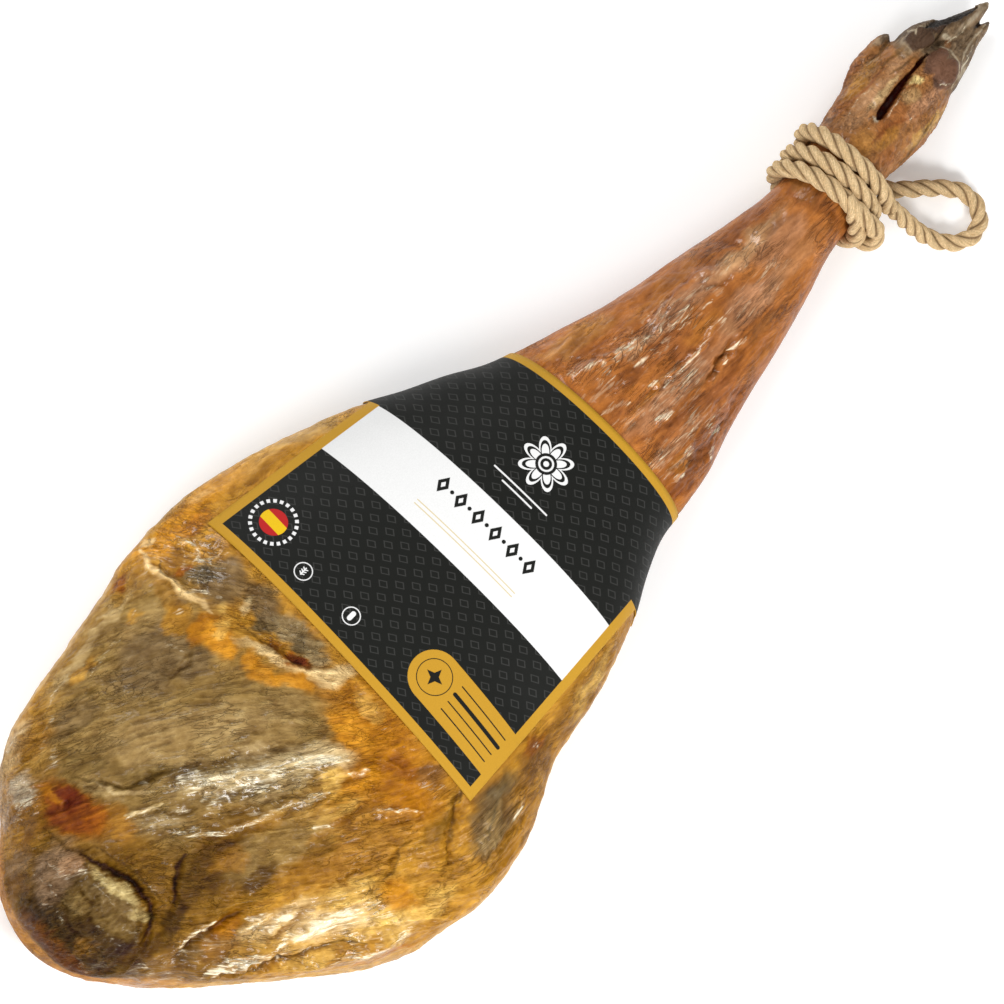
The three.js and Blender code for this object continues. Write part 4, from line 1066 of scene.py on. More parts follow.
def body_colour(points, up, a, b, fibre, relief):
    warp = streaky_warp(points, fibre, 1.8)
    a, b = a + warp[0], b + warp[1]
    colour = np.tile(OCHRE, (len(points), 1))
    blend(colour, COPPER, smooth_step(-40, 20, a))
    for spots, lines in ((BODY_SPOTS, BODY_LINES), (SIDE_SPOTS, []), (SHANK_SPOTS, SHANK_LINES)):
        paint_spots(colour, a, b, spots)
        paint_lines(colour, a - 0.6 * warp[0], b - 0.6 * warp[1], lines)
    blend(colour, SHANK_MEAN, 0.32 * smooth_step(0, 20, a))
    drawn = points.copy()
    drawn[:, 0] = (drawn[:, 0] - 10) / (1 + 1.8 * smooth_step(10, 40, drawn[:, 0]))
    blotches(colour, drawn, 18, 0.14, 51)
    blotches(colour, drawn, 6, 0.22, 53)
    blotches(colour, drawn_out(fibre, 3), 3.0, 0.16, 55)
    edge = smooth_step(0.34, 0.12, up + 0.05 * cloud(points, 14, 75) + 0.05 * cloud(points, 4, 77, 2))
    blend(colour, rind_colour(points, points[:, 0], points[:, 1]), edge)
    ruddy = 1 - smooth_step(-10, 10, a)[:, None] * (1 - SHANK_TINT)
    colour *= ruddy + smooth_step(60, 140, a)[:, None] * ANKLE_TINT
    # Painted shade in the relief's hollows and painted light on its crests
    shade = np.clip(relief, -1.6, 1.2)
    colour *= np.exp(shade[:, None] * np.where(shade < 0, 0.50, 0.26)[:, None] * RELIEF_TINT)
    return as_paint(colour, body_gain(points[:, 0], points[:, 1]))


def body_gain(x, y):
    """The lamps reach the shank and the far side less than the rest, so the paint there is made lighter to make up
    for it: painted light.
    """
    return LAMP_GAIN - 0.01 * smooth_step(-60, 60, x) - 0.26 * smooth_step(60, 115, y)


def as_paint(colour, gain):
    """Paint that looks like the colour under the lamps."""
    return np.clip((colour - GLOSS_VEIL) / np.reshape(gain, (-1, 1)), DARKEST, 0.95)


def body_dullness(points, up, a, b, relief):
    dull = 0.50 + 0.10 * cloud(points, 26, 81) + 0.05 * cloud(points, 6, 83)
    fat = smooth_step(-20, -60, b + 0.35 * (a + 250)) * smooth_step(-150, -190, a)
    dull -= 0.08 * fat
    for amount, outer, inner, ca, cb in DULL_PATCHES:
        dull += amount * smooth_step(outer, inner, np.hypot(a - ca, b - cb))
    dull += 0.14 * smooth_step(0.1, -0.4, up)
    dull -= 0.08 * np.clip(relief, -1, 1)
    return np.clip(dull, 0.25, 0.85)


def body_film(points, a, b, relief):
    """Where the surface is a thin wrinkled film: 0 to 1."""
    film = 0.35 + 0.30 * cloud(points, 20, 85) + 0.8 * oval_mask(a, b, FILMY) + 0.3 * smooth_step(0, 20, a)
    film -= 0.6 * oval_mask(a, b, SMOOTH_FAT) + 0.8 * smooth_step(-0.2, -1.0, relief)
    film -= 0.5 * oval_mask(a, b, DRY)
    return np.clip(film, 0, 1)


def body_gleam(points, a, b, fibre):
    """Strength of the painted highlights (pale glints) on the film: 0 to about 1. It also raises the coat there."""
    wa, wb = a + 1.4 * cloud(points, 7, 87, 3), b + 1.4 * cloud(points, 7, 88, 3)
    gleam = strongest(wa, wb, GLEAMS, 1.25)
    streak = cloud(drawn_out(fibre, 5), 1.8, 89, 2)
    faint = 0.52 * oval_mask(a, b, FILMY)
    faint *= smooth_step(-0.25, 0.35, cloud(points, 8, 90, 2))
    return np.maximum(gleam * (0.92 + 0.25 * streak), faint)


# The knob's end and the red hollow: amount, outer and inner radius, a, b
DULL_PATCHES = [(0.10, 34, 24, -352, 14), (0.15, 22, 12, -316, 58)]
# Ovals: a, b, half length, half width, degrees
DRY = [(-316, 58, 16, 22, 0), (-338, -20, 30, 7, 0), (-306, -14, 16, 7, 28)]
FILMY = [(-248, 8, 42, 12, -38), (-262, -8, 34, 6, -32), (-275, -72, 48, 14, -26), (-258, -98, 30, 10, -26),
         (-344, -30, 26, 8, -14), (-334, 78, 16, 12, 0), (-205, -62, 12, 4, -50), (-182, 98, 12, 14, 0),
         (46, -16, 44, 12, 0), (34, -36, 34, 9, 4), (62, 12, 66, 12, -5), (106, -10, 34, 9, 0), (-194, 110, 26, 8, 0),
         (-290, 20, 16, 8, -40), (-320, -44, 24, 8, -16)]


def grid_normals(grid):
    """Unit normals of a grid of points whose columns close into rings."""
    along = np.gradient(grid, axis=0)
    around = np.roll(grid, -1, 1) - np.roll(grid, 1, 1)
    return unit(np.cross(around, along))


def skin(x, angle, names, cuts, material):
    """Pieces of the body's skin over the rings at x, cut between pieces at the given rings."""
    gx, ga = np.meshgrid(x, angle, indexing="ij")
    shape = gx.shape
    smooth = section_points(gx, ga).reshape(-1, 3)
    normals = section_normals(gx, ga).reshape(-1, 3)
    up = normals[:, 2]
    a, b = plane_place(smooth)
    fibre = np.column_stack([*fibre_place(a, b), smooth[:, 2] * 0.6])
    height = body_height(smooth, up, a, b, fibre)
    points = smooth + normals * height[:, None]
    points[:, 2] = np.maximum(points[:, 2], 0.0)
    relief = cavity(height.reshape(shape), 6).ravel() * 1.2
    painted = (body_colour(smooth, up, a, b, fibre, relief), fibre, body_dullness(smooth, up, a, b, relief),
               body_film(smooth, a, b, relief), body_gleam(smooth, a, b, fibre))
    normal = grid_normals(points.reshape(*shape, 3)).reshape(-1, 3)
    made = []
    for name, first, last in zip(names, cuts[:-1], cuts[1:]):
        part = slice(first * shape[1], (last + 1) * shape[1])
        faces = [list(f) for f in grid_faces(last - first + 1, shape[1])]
        if first == 0:
            faces.append(list(range(shape[1]))[::-1])
        if last == shape[0] - 1:
            faces.append([(last - first) * shape[1] + k for k in range(shape[1])])
        mesh = make_mesh(name, points[part], faces)
        dress(mesh, material, *(values[part] for values in painted))
        mesh.normals_split_custom_set_from_vertices(normal[part].tolist())
        made.append(link(name, mesh))
    return made


def ring_angles(top, bottom):
    return np.concatenate([np.linspace(0, math.pi, top, endpoint=False),
                           np.linspace(math.pi, 2 * math.pi, bottom, endpoint=False)])


def steps(low, high, step):
    return np.linspace(low, high, max(int(round((high - low) / step)), 2), endpoint=False)


# x of the butt's tip, the end of its round cap, the start of each further skin and the end of the last
BUTT_END_X, CAP_X, FACE_X, NECK_X, SHANK_X, SHANK_END_X = -355, -344, -250, -150, 30, 232
FACE_STEP, NECK_STEP, SHANK_STEP = 0.72, 2.0, 1.0     # between rings
FACE_RING, SHANK_RING = (370, 70), (170, 70)          # points on the upper and the lower half of a ring


def make_body(material):
    coarse = 1.0
    cap = BUTT_END_X + (CAP_X - BUTT_END_X) * np.linspace(0.02, 1, int(34 / coarse)) ** 2
    rings = [cap[:-1], steps(CAP_X, FACE_X, FACE_STEP * coarse), steps(FACE_X, NECK_X, FACE_STEP * coarse),
             steps(NECK_X, SHANK_X, NECK_STEP), [float(SHANK_X)]]
    cuts = np.cumsum([0, len(rings[0]) + len(rings[1]), len(rings[2]), len(rings[3])])
    angle = ring_angles(*(int(count / coarse) for count in FACE_RING))
    pieces = skin(np.concatenate(rings), angle, ["ham_knob_end", "ham_meat_face", "ham_neck"], cuts, material)
    shank = np.concatenate([steps(SHANK_X, SHANK_END_X, SHANK_STEP * coarse), [float(SHANK_END_X)]])
    angle = ring_angles(*(int(count / coarse) for count in SHANK_RING))
    return pieces + skin(shank, angle, ["ham_shank"], [0, len(shank) - 1], material)


# Foot

def joined(parts):
    points, faces, count = [], [], 0
    for part_points, part_faces in parts:
        points.append(part_points)
        faces += [[k + count for k in face] for face in part_faces]
        count += len(part_points)
    return np.concatenate(points), faces


def foot_core():
    x = np.concatenate([np.linspace(222, 300, 40), 300 + 22 * np.sin(np.linspace(0.05, math.pi / 2, 16))])
    angle = ring_angles(40, 28)
    gx, ga = np.meshgrid(x, angle, indexing="ij")
    return section_points(gx, ga).reshape(-1, 3), capped(len(x), len(angle))


def ball(centre, radii, sides=24):
    polar = np.linspace(0.02, math.pi - 0.02, sides // 2)
    turn = np.linspace(0, 2 * math.pi, sides, endpoint=False)
    p, t = np.meshgrid(polar, turn, indexing="ij")
    unit = np.stack([np.sin(p) * np.cos(t), np.sin(p) * np.sin(t), -np.cos(p)], -1).reshape(-1, 3)
    return unit * radii + centre, capped(len(polar), sides)


def remeshed(name, points, faces, voxel):
    mesh = make_mesh(name, points, faces)
    thing = link(name, mesh)
    remesh = thing.modifiers.new("remesh", "REMESH")
    remesh.mode, remesh.voxel_size = "VOXEL", voxel * MM
    result = bpy.data.meshes.new_from_object(thing.evaluated_get(bpy.context.evaluated_depsgraph_get()))
    bpy.data.objects.remove(thing)
    return result


def mesh_arrays(mesh):
    points = np.empty(len(mesh.vertices) * 3)
    mesh.vertices.foreach_get("co", points)
    normals = np.empty(len(mesh.vertices) * 3)
    mesh.vertices.foreach_get("normal", normals)
    return points.reshape(-1, 3) / MM + SHIFT, normals.reshape(-1, 3)


def relax(points, mesh, rounds):
    edges = np.empty(len(mesh.edges) * 2, int)
    mesh.edges.foreach_get("vertices", edges)
    edges = edges.reshape(-1, 2)
    count = np.bincount(edges.ravel(), minlength=len(points))[:, None]
    for _ in range(rounds):
        total = np.zeros_like(points)
        np.add.at(total, edges[:, 0], points[edges[:, 1]])
        np.add.at(total, edges[:, 1], points[edges[:, 0]])
        points = points * 0.5 + total / count * 0.5
    return points


FOOT_VOXEL = 0.8                  # millimetres
CRACK_HALF, CRACK_DEPTH, SLIT_DEPTH = 2.3, 1.6, 9
SKIN_FIBRE = 2.4                  # how much shorter the fibres' pattern is on the foot's skin than on its horn


def foot_masks(points, up, a, b):
    """Where the horn, the heel pads, the dark crack and the slit are: 0 to 1."""
    slit = np.array(SLIT)
    d, _ = run_distance(points[:, 0], points[:, 1], slit[:, :2])
    half = np.interp(points[:, 0], slit[:, 0], slit[:, 2])
    cut = smooth_step(1.15, 0.8, d / half) * smooth_step(0.2, 0.6, up)
    horn = smooth_step(253, 260, a + 0.25 * np.abs(b - 8) + 2 * cloud(points, 6, 91))
    pa, pb = a + 1.2 * cloud(points, 6, 92, 2), b + 1.2 * cloud(points, 6, 94, 2)
    pad = np.max([smooth_step(1.10, 0.92, oval(pa, pb, *place)) for place in PADS], axis=0)
    pad *= smooth_step(0.1, 0.4, up)
    away, place = run_distance(a, b, CLAW_CRACK)
    reach = CRACK_HALF * np.sqrt(np.clip(4.5 * place * (1 - place), 0.1, 1))
    crack = smooth_step(1.2, 0.8, (away + 0.4 * cloud(points, 3, 98, 2)) / reach) * smooth_step(-0.3, 0.0, up)
    return horn, pad, crack, cut


def foot_height(points, horn, pad, crack):
    """Wrinkled skin, grooved horn, raised pads and the crack, in millimetres."""
    height = (1 - horn) * (0.7 * (ridges(points, (13, 5, 6), 93) - 0.45) + 0.4 * cloud(points, 3.4, 95, 2))
    height += horn * (1 - pad) * 0.5 * (ridges(points, (16, 2.2, 2.6), 97) - 0.4) + 0.9 * pad
    return height - CRACK_DEPTH * crack


def foot_colour(points, a, b, warp, horn, pad, crack, cut):
    colour = np.tile(FOOT_SKIN, (len(points), 1))
    paint_spots(colour, a + warp[0], b + warp[1], FOOT_SPOTS)
    paint_lines(colour, a + 0.4 * warp[0], b + 0.4 * warp[1], FOOT_LINES)
    blotches(colour, points, 10, 0.12, 103)
    blotches(colour, points, 4, 0.12, 105)
    colour *= np.exp(0.30 * (ridges(points, (6, 3, 4), 107) - 0.42))[:, None]
    horn_colour = np.tile(HORN, (len(points), 1))
    blend(horn_colour, HORN_DARK, 1.1 * (1 - ridges(points, (20, 2.2, 3), 109)))
    paint_spots(horn_colour, a, b, HORN_SPOTS)
    blotches(horn_colour, points, 2.5, 0.16, 112)
    blend(colour, horn_colour, horn)
    pad_colour = np.tile(PAD, (len(points), 1))
    blend(pad_colour, PAD_DARK, smooth_step(9, 16, b))
    blend(colour, pad_colour, pad)
    paint_lines(colour, a + 0.3 * warp[0], b + 0.3 * warp[1], HORN_LINES)
    # Painted shade in the gap between the claws
    blend(colour, INK, crack)
    blend(colour, SLIT_BROWN, cut)
    return as_paint(colour, FOOT_GAIN)


def make_foot(material):
    parts = [foot_core(), *(tapered_tube(rows) for rows in (LONG_TOE, SHORT_TOE, DEWCLAW, TOE_WEB))]
    parts += [ball(np.array(c), np.array(r)) for c, r in HEEL_PADS]
    mesh = remeshed("ham_foot", *joined(parts), FOOT_VOXEL)
    points, normals = mesh_arrays(mesh)
    points = relax(points, mesh, 3)
    a, b = plane_place(points)
    horn, pad, crack, cut = foot_masks(points, normals[:, 2], a, b)
    height = foot_height(points, horn, pad, crack)
    points[:, 0] += TIP_STRETCH * smooth_step(325, 350, points[:, 0])
    along = points[:, 0] - HOOF_X
    points = points + normals * height[:, None]
    points[:, 2] = np.maximum(points[:, 2] - SLIT_DEPTH * cut, 0.0)
    mesh.vertices.foreach_set("co", row(points).ravel())
    shade_smooth(mesh)
    mesh.update()
    mesh.materials.clear()
    warp = warp_of(points, 7, 1.4, 101)
    dress(mesh, material, tint=foot_colour(points, a, b, warp, horn, pad, crack, cut),
          fibre=np.column_stack([np.where(along < 0, SKIN_FIBRE * along, along), points[:, 1], points[:, 2]]),
          dull=np.clip(0.50 + 0.08 * cloud(points, 12, 111), 0.2, 0.8),
          film=np.clip(0.6 + 0.4 * cloud(points, 9, 113), 0, 1) * (1 - horn),
          gleam=strongest(a + 0.6 * warp[0], b + 0.6 * warp[1], FOOT_GLEAMS))
    return link("ham_foot", mesh)


# Label

LABEL_NECK_X = 41.0
# Corners of the flap over the meat face, and the ends of the band's two edges
FAR_BUTT, FAR_NECK, FAR_SIDE = (-140, 107.5), (-31, 91.5), (-31, 150)
NEAR_BUTT, NEAR_NECK, NEAR_SIDE = (-150.5, -85), (-12, -77), (-12, -150)
LABEL_BAND = [FAR_SIDE, (LABEL_NECK_X, 150), (LABEL_NECK_X, -150), NEAR_SIDE]
LABEL_PLAN = [FAR_BUTT, FAR_NECK, *LABEL_BAND, NEAR_NECK, NEAR_BUTT]
LABEL_CUTS = [(FAR_BUTT, FAR_NECK), (FAR_NECK, FAR_SIDE), ((LABEL_NECK_X, 0), (LABEL_NECK_X, 10)),
              (NEAR_NECK, NEAR_SIDE), (NEAR_NECK, NEAR_BUTT), (NEAR_BUTT, FAR_BUTT), (FAR_SIDE, NEAR_SIDE)]
LABEL_RINGS, LABEL_RING = (-158, 48, 2.4), (130, 90)     # first x, last x and step; points above and below
EDGE_SOFT = 4                     # millimetres over which the ham's relief fades at the label's edge
LABEL_SPLIT_Z = 41.0
LABEL_GAP, LABEL_THICK = 0.35, 0.6


def inside_polygon(x, y, outline):
    inside = np.zeros(len(x), bool)
    for (x0, y0), (x1, y1) in zip(outline, outline[1:] + outline[:1]):
        crosses = (y0 > y) != (y1 > y)
        with np.errstate(divide="ignore", invalid="ignore"):
            at = x0 + (y - y0) * (x1 - x0) / (y1 - y0)
        inside ^= crosses & (x < at)
    return inside


def cut_across(bm, place, normal):
    bmesh.ops.bisect_plane(bm, geom=bm.verts[:] + bm.edges[:] + bm.faces[:], dist=1e-6, plane_co=place,
                           plane_no=normal)


def make_label():
    x = np.arange(*LABEL_RINGS)
    angle = ring_angles(*LABEL_RING)
    gx, ga = np.meshgrid(x, angle, indexing="ij")
    points = section_points(gx, ga) + section_normals(gx, ga) * LABEL_GAP
    mesh = make_mesh("label_card", points.reshape(-1, 3), grid_faces(len(x), len(angle)))
    bm = bmesh.new()
    bm.from_mesh(mesh)
    for start, end in LABEL_CUTS:
        p0, p1 = row([*start, 0]), row([*end, 0])
        cut_across(bm, Vector(p0), Vector((p1[1] - p0[1], p0[0] - p1[0], 0)).normalized())
    cut_across(bm, Vector((0, 0, LABEL_SPLIT_Z * MM)), Vector((0, 0, 1)))
    centres = np.array([f.calc_center_median()[:] for f in bm.faces]) / MM + SHIFT
    keep = np.where(centres[:, 2] > LABEL_SPLIT_Z, inside_polygon(centres[:, 0], centres[:, 1], LABEL_PLAN),
                    inside_polygon(centres[:, 0], centres[:, 1], LABEL_BAND))
    bm.faces.ensure_lookup_table()
    bmesh.ops.delete(bm, geom=[f for f, k in zip(bm.faces[:], keep) if not k], context="FACES")
    bm.to_mesh(mesh)
    bm.free()
    shade_smooth(mesh)
    points, _ = mesh_arrays(mesh)
    thing = link("label_card", mesh)
    set_vector(mesh, "plan", points)
    solidify = thing.modifiers.new("thickness", "SOLIDIFY")
    solidify.thickness, solidify.offset = LABEL_THICK * MM, 1
    mesh.materials.append(label_material())
    return thing


PRINT_BLACK, PRINT_GREY = tone(26, 27, 24) / PRINT_GAIN, tone(58, 58, 56) / PRINT_GAIN
PRINT_WHITE, PRINT_GOLD = tone(250, 250, 249) / PRINT_GAIN, tone(207, 156, 46) / PRINT_GAIN
PRINT_RED, PRINT_YELLOW = tone(196, 34, 34) / PRINT_GAIN, tone(246, 202, 20) / PRINT_GAIN
BORDER = 4.8
WHITE_BAND = (-70.5, -31.5)
PRINT_RULE = tone(232, 214, 170) / PRINT_GAIN
FAR_CELLS = 1000                  # added before a remainder is taken, which keeps it above 0


class Print:
    """Flat shapes laid over one another, from millimetres in the plan of the label."""

    def __init__(self, g, x, y, ground):
        self.g, self.x, self.y, self.colour = g, x, y, rgba(ground)

    def lay(self, mask, colour):
        self.colour = self.g.mix(mask, self.colour, rgba(colour))

    def soft(self, distance, edge=0.0):
        """1 where the distance is under the edge, with a thin soft step."""
        return self.g.ramp(distance, edge + 0.12, edge - 0.12)

    def away(self, cx, cy):
        g = self.g
        return g.less(self.x, cx), g.less(self.y, cy)

    def radius(self, cx, cy):
        return self.g.length(*self.away(cx, cy))

    def disc(self, cx, cy, r):
        return self.soft(self.radius(cx, cy), r)

    def ring(self, cx, cy, r, width):
        g = self.g
        return self.soft(g.absolute(g.less(self.radius(cx, cy), r)), width / 2)

    def line(self, start, end):
        """Signed distance from the line through two points, positive on its left."""
        g = self.g
        (x0, y0), (x1, y1) = start, end
        length = math.hypot(x1 - x0, y1 - y0)
        nx, ny = -(y1 - y0) / length, (x1 - x0) / length
        dot = g.add(g.times(self.x, nx), g.times(self.y, ny))
        return g.less(dot, nx * x0 + ny * y0)

    def bar(self, start, end, half):
        """A straight bar with round ends."""
        g = self.g
        (x0, y0), (x1, y1) = start, end
        dx, dy = self.away(x0, y0)
        ux, uy = x1 - x0, y1 - y0
        square = ux * ux + uy * uy
        dot = g.add(g.times(dx, ux), g.times(dy, uy))
        t = g.math("DIVIDE", dot, square, clamp=True)
        px = g.less(dx, g.times(t, ux))
        py = g.less(dy, g.times(t, uy))
        return self.soft(g.length(px, py), half)

    def lozenge(self, dx, dy, half_x, half_y):
        """0 in the middle, 1 on the outline."""
        g = self.g
        return g.add(g.math("DIVIDE", g.absolute(dx), half_x), g.math("DIVIDE", g.absolute(dy), half_y))

    def repeat(self, value, pitch, offset=0.0):
        """Distance from the middle of the nearest cell."""
        g = self.g
        shifted = g.add(g.add(value, FAR_CELLS * pitch), offset)
        return g.less(g.math("MODULO", shifted, pitch), pitch / 2)


def print_ground(p):
    """Black field with staggered rows of small grey lozenges."""
    g = p.g
    pitch_x, pitch_y, slant = 5.6, 10.4, 0.22
    slid = g.add(p.y, g.times(p.x, slant))
    column = g.math("FLOOR", g.math("DIVIDE", g.add(p.x, FAR_CELLS * pitch_x), pitch_x))
    odd = g.times(g.math("MODULO", column, 2.0), pitch_y / 2)
    dx, dy = p.repeat(p.x, pitch_x), p.repeat(slid, pitch_y, odd)
    shape = p.lozenge(dx, dy, 2.5, 3.4)
    p.lay(g.ramp(g.absolute(g.less(shape, 0.84)), 0.20, 0.06), PRINT_GREY)


def print_band(p):
    """White band with a black row of lozenges and dots, and two fine gold rules beside them."""
    g = p.g
    low, high = WHITE_BAND
    band = g.times(p.soft(g.less(low, p.x)), p.soft(g.less(p.x, high)))
    p.lay(band, PRINT_WHITE)
    row_x, start, end, pitch = -43.5, -30.0, 42.0, 12.0
    within = g.times(g.math("GREATER_THAN", p.y, start), g.math("LESS_THAN", p.y, end))
    dy = p.repeat(g.less(p.y, start), pitch)
    dx = g.less(p.x, row_x)
    shape = p.lozenge(dx, dy, 5.2, 3.4)
    p.lay(g.times(within, g.ramp(shape, 1.05, 0.95)), PRINT_BLACK)
    p.lay(g.times(within, g.ramp(shape, 0.42, 0.34)), PRINT_WHITE)
    half = p.repeat(g.less(p.y, start), pitch, pitch / 2)
    dot = g.length(dx, half)
    inner = g.times(g.math("GREATER_THAN", p.y, start + 4), g.math("LESS_THAN", p.y, end - 4))
    p.lay(g.times(inner, p.soft(dot, 1.1)), PRINT_BLACK)
    for rule in (-58.6, -61.0):
        p.lay(p.bar((rule, -28), (rule, 40), 0.3), PRINT_RULE)


def print_rosette(p, cx, cy, size, petals, colour):
    """Ring of petals round a dotted middle."""
    g = p.g
    dx, dy = p.away(cx, cy)
    turn = g.math("ARCTAN2", dy, dx)
    wave = g.absolute(g.math("COSINE", g.times(turn, petals / 2)))
    radius = p.radius(cx, cy)
    edge = g.add(g.times(wave, size * 0.42), size * 0.55)
    petal = g.less(radius, edge)
    p.lay(p.soft(petal), colour)
    p.lay(p.soft(g.add(petal, size * 0.13)), PRINT_BLACK)
    p.lay(p.soft(g.add(petal, size * 0.26)), colour)
    p.lay(p.disc(cx, cy, size * 0.38), PRINT_BLACK)
    p.lay(p.ring(cx, cy, size * 0.24, size * 0.07), colour)
    p.lay(p.disc(cx, cy, size * 0.10), colour)


def print_badges(p):
    """Striped disc in a ring of ticks, two small rings, and a gold plate with round end."""
    g = p.g
    cx, cy = -118.0, 84.0
    dx, dy = p.away(cx, cy)
    ticks = g.math("SINE", g.times(g.math("ARCTAN2", dy, dx), 22))
    p.lay(g.times(p.ring(cx, cy, 11.6, 1.9), g.ramp(ticks, -0.25, 0.05)), PRINT_WHITE)
    p.lay(p.disc(cx, cy, 7.2), PRINT_RED)
    stripe = p.soft(g.absolute(g.less(dx, g.times(dy, 0.12))), 2.9)
    p.lay(g.times(stripe, p.disc(cx, cy, 7.2)), PRINT_YELLOW)
    for by, kind in ((56.0, 0), (23.0, 1)):
        bx = -127.2
        p.lay(p.ring(bx, by, 4.6, 0.55), PRINT_WHITE)
        if kind:
            p.lay(p.bar((bx - 1.4, by), (bx + 1.6, by), 1.3), PRINT_WHITE)
        else:
            p.lay(p.bar((bx - 2, by), (bx + 2.2, by), 0.35), PRINT_WHITE)
            for side in (-1, 1):
                for at in (-1.0, 0.4, 1.8):
                    p.lay(p.bar((bx + at - 0.8, by), (bx + at, by + 1.3 * side), 0.3), PRINT_WHITE)
    top, low = (-119.5, -28.5), (-123.6, -92.0)
    p.lay(p.bar(top, low, 14.0), PRINT_GOLD)
    p.lay(p.ring(*top, 9.4, 0.5), PRINT_BLACK)
    dx, dy = p.away(*top)
    for half_x, half_y in ((5.4, 2.2), (2.2, 5.4)):
        p.lay(g.ramp(p.lozenge(dx, dy, half_x, half_y), 1.06, 0.94), PRINT_BLACK)
    for across, thick in ((-8.0, 0.35), (-2.8, 0.35), (2.4, 1.1), (8.0, 0.35)):
        p.lay(p.bar((-120.6 + across, -42), (-123.0 + across, -76), thick), PRINT_BLACK)


def print_border(p):
    """Gold rule along the cut edges. Past the flap's corners its two long edges are put out of reach."""
    g = p.g
    far = g.math("MAXIMUM", p.line(FAR_NECK, FAR_BUTT), g.times(g.add(p.x, -FAR_NECK[0]), 50))
    near = g.math("MAXIMUM", p.line(NEAR_BUTT, NEAR_NECK), g.times(g.add(p.x, -NEAR_NECK[0]), 50))
    butt = p.line(FAR_BUTT, NEAR_BUTT)
    neck = g.less(LABEL_NECK_X, p.x)
    nearest = g.math("MINIMUM", g.math("MINIMUM", far, near), g.math("MINIMUM", butt, neck))
    p.lay(p.soft(nearest, BORDER), PRINT_GOLD)


def label_material():
    g = Graph("printed_card")
    place = g.attribute("plan", "Vector")
    x, y = (g.node("SeparateXYZ", k, inputs={"Vector": place}) for k in (0, 1))
    p = Print(g, x, y, PRINT_BLACK)
    print_ground(p)
    print_band(p)
    print_rosette(p, 2.0, 6.0, 15.0, 8, PRINT_WHITE)
    p.lay(p.bar((-17.5, -12), (-17.5, 24), 0.45), PRINT_WHITE)
    p.lay(p.bar((-20.5, -4), (-20.5, 16), 0.45), PRINT_WHITE)
    print_badges(p)
    print_border(p)
    grain = g.noise(g.node("TexCoord", "Object"), 1400, 3)
    wave = g.noise(g.stretch(place, (0.05, 0.03, 0.03)), 1.0, 2)
    colour = g.mix(1.0, p.colour, g.ramp(grain, 0.3, 0.7, 0.96, 1.04), "MULTIPLY")
    rough = g.ramp(grain, 0.3, 0.7, 0.52, 0.62)
    normal = g.bump(wave, 0.25, CARD_WAVE, Normal=g.bump(grain, 0.12, CARD_GRAIN))
    return g.finish(Base_Color=colour, Roughness=rough, Normal=normal, Specular_IOR_Level=0.12)


# Rope

ROPE_D, ROPE_GAP, LOOP_D, TOUCH_GAP = 8.8, 0.7, 9.2, 0.3
FULL = 1.11                       # the laid strands stand a little over the measured middle
LAY_LENGTH = 30.0                 # for one turn of a strand
END_PIECE = 4                     # length of the last straight piece of the wound part
ROPE_SPACING, ROPE_SIDES = 0.9, 36     # between rings, and points on a ring
STRAND_SHARE = 0.56               # a strand's thickness, as a share of the rope's
TAIL = [(218.2, -8.5, 61.2), (217.0, -15.6, 59.0)]
TURNS = [
    (-298, 214.4, 0.6), (-270, 214, 0.4), (-225, 212.6, 0), (-180, 211, 0), (-135, 209.8, 0), (-90, 209.8, 0),
    (-60, 211.6, 0), (-30, 214.4, 0), (0, 216.7, 0), (25, 217.8, 1), (45, 218.6, 4), (65, 220, 8.4)]
BIGHT = [(222.8, -30.8, 39), (221.4, -33.8, 30.5), (218.4, -30.0, 21.5)]
TURNS_ON = [
    (140, 219.4, 0.4), (180, 219.2, 0), (225, 220, 0), (270, 220.8, 0), (315, 223.4, 0), (360, 225.9, 0),
    (405, 227.4, 0), (450, 228.4, 0), (495, 229.4, 0), (540, 231, 0), (585, 232.8, 0), (630, 234.2, 0),
    (675, 235, 0), (720, 235.6, 0), (760, 236.8, 0), (790, 237.4, 1)]
EXIT = (238.4, -29, 34.6)
LOOP = [
    EXIT, (240.8, -36.2, 27), (243.8, -43.6, 17.6), (247.4, -51.4, 9.4), (252.5, -60, 5.6), (259, -66, 4.9),
    (266.4, -68.4, 4.8), (274, -66, 4.8), (279, -59, 4.8), (279.2, -50.6, 5), (274.6, -43, 6.2),
    (266.5, -35.4, 8.8), (257.6, -28, 11), (250.6, -20.8, 10.6), (247.6, -14.6, 9)]


def finer(rows, parts=3):
    """The rows after the first, with others between them."""
    rows = np.array(rows, float)
    t = (np.arange(parts) + 1) / parts
    return (rows[:-1, None] + (rows[1:] - rows[:-1])[:, None] * t[None, :, None]).reshape(-1, 3)


def on_shank(rows):
    """Middle of the wound rope from rows of degrees over the near side, x, lift."""
    rows = np.atleast_2d(np.array(rows, float))
    angle = np.radians(90 + rows[:, 0])
    x, step = rows[:, 1], 0.02
    points = section_points(x, angle)
    tangent = section_points(x, angle + step) - section_points(x, angle - step)
    out = unit(np.stack([0 * x, tangent[:, 2], -tangent[:, 1]], -1))
    return points + out * (ROPE_D / 2 + ROPE_GAP + rows[:, 2])[:, None]


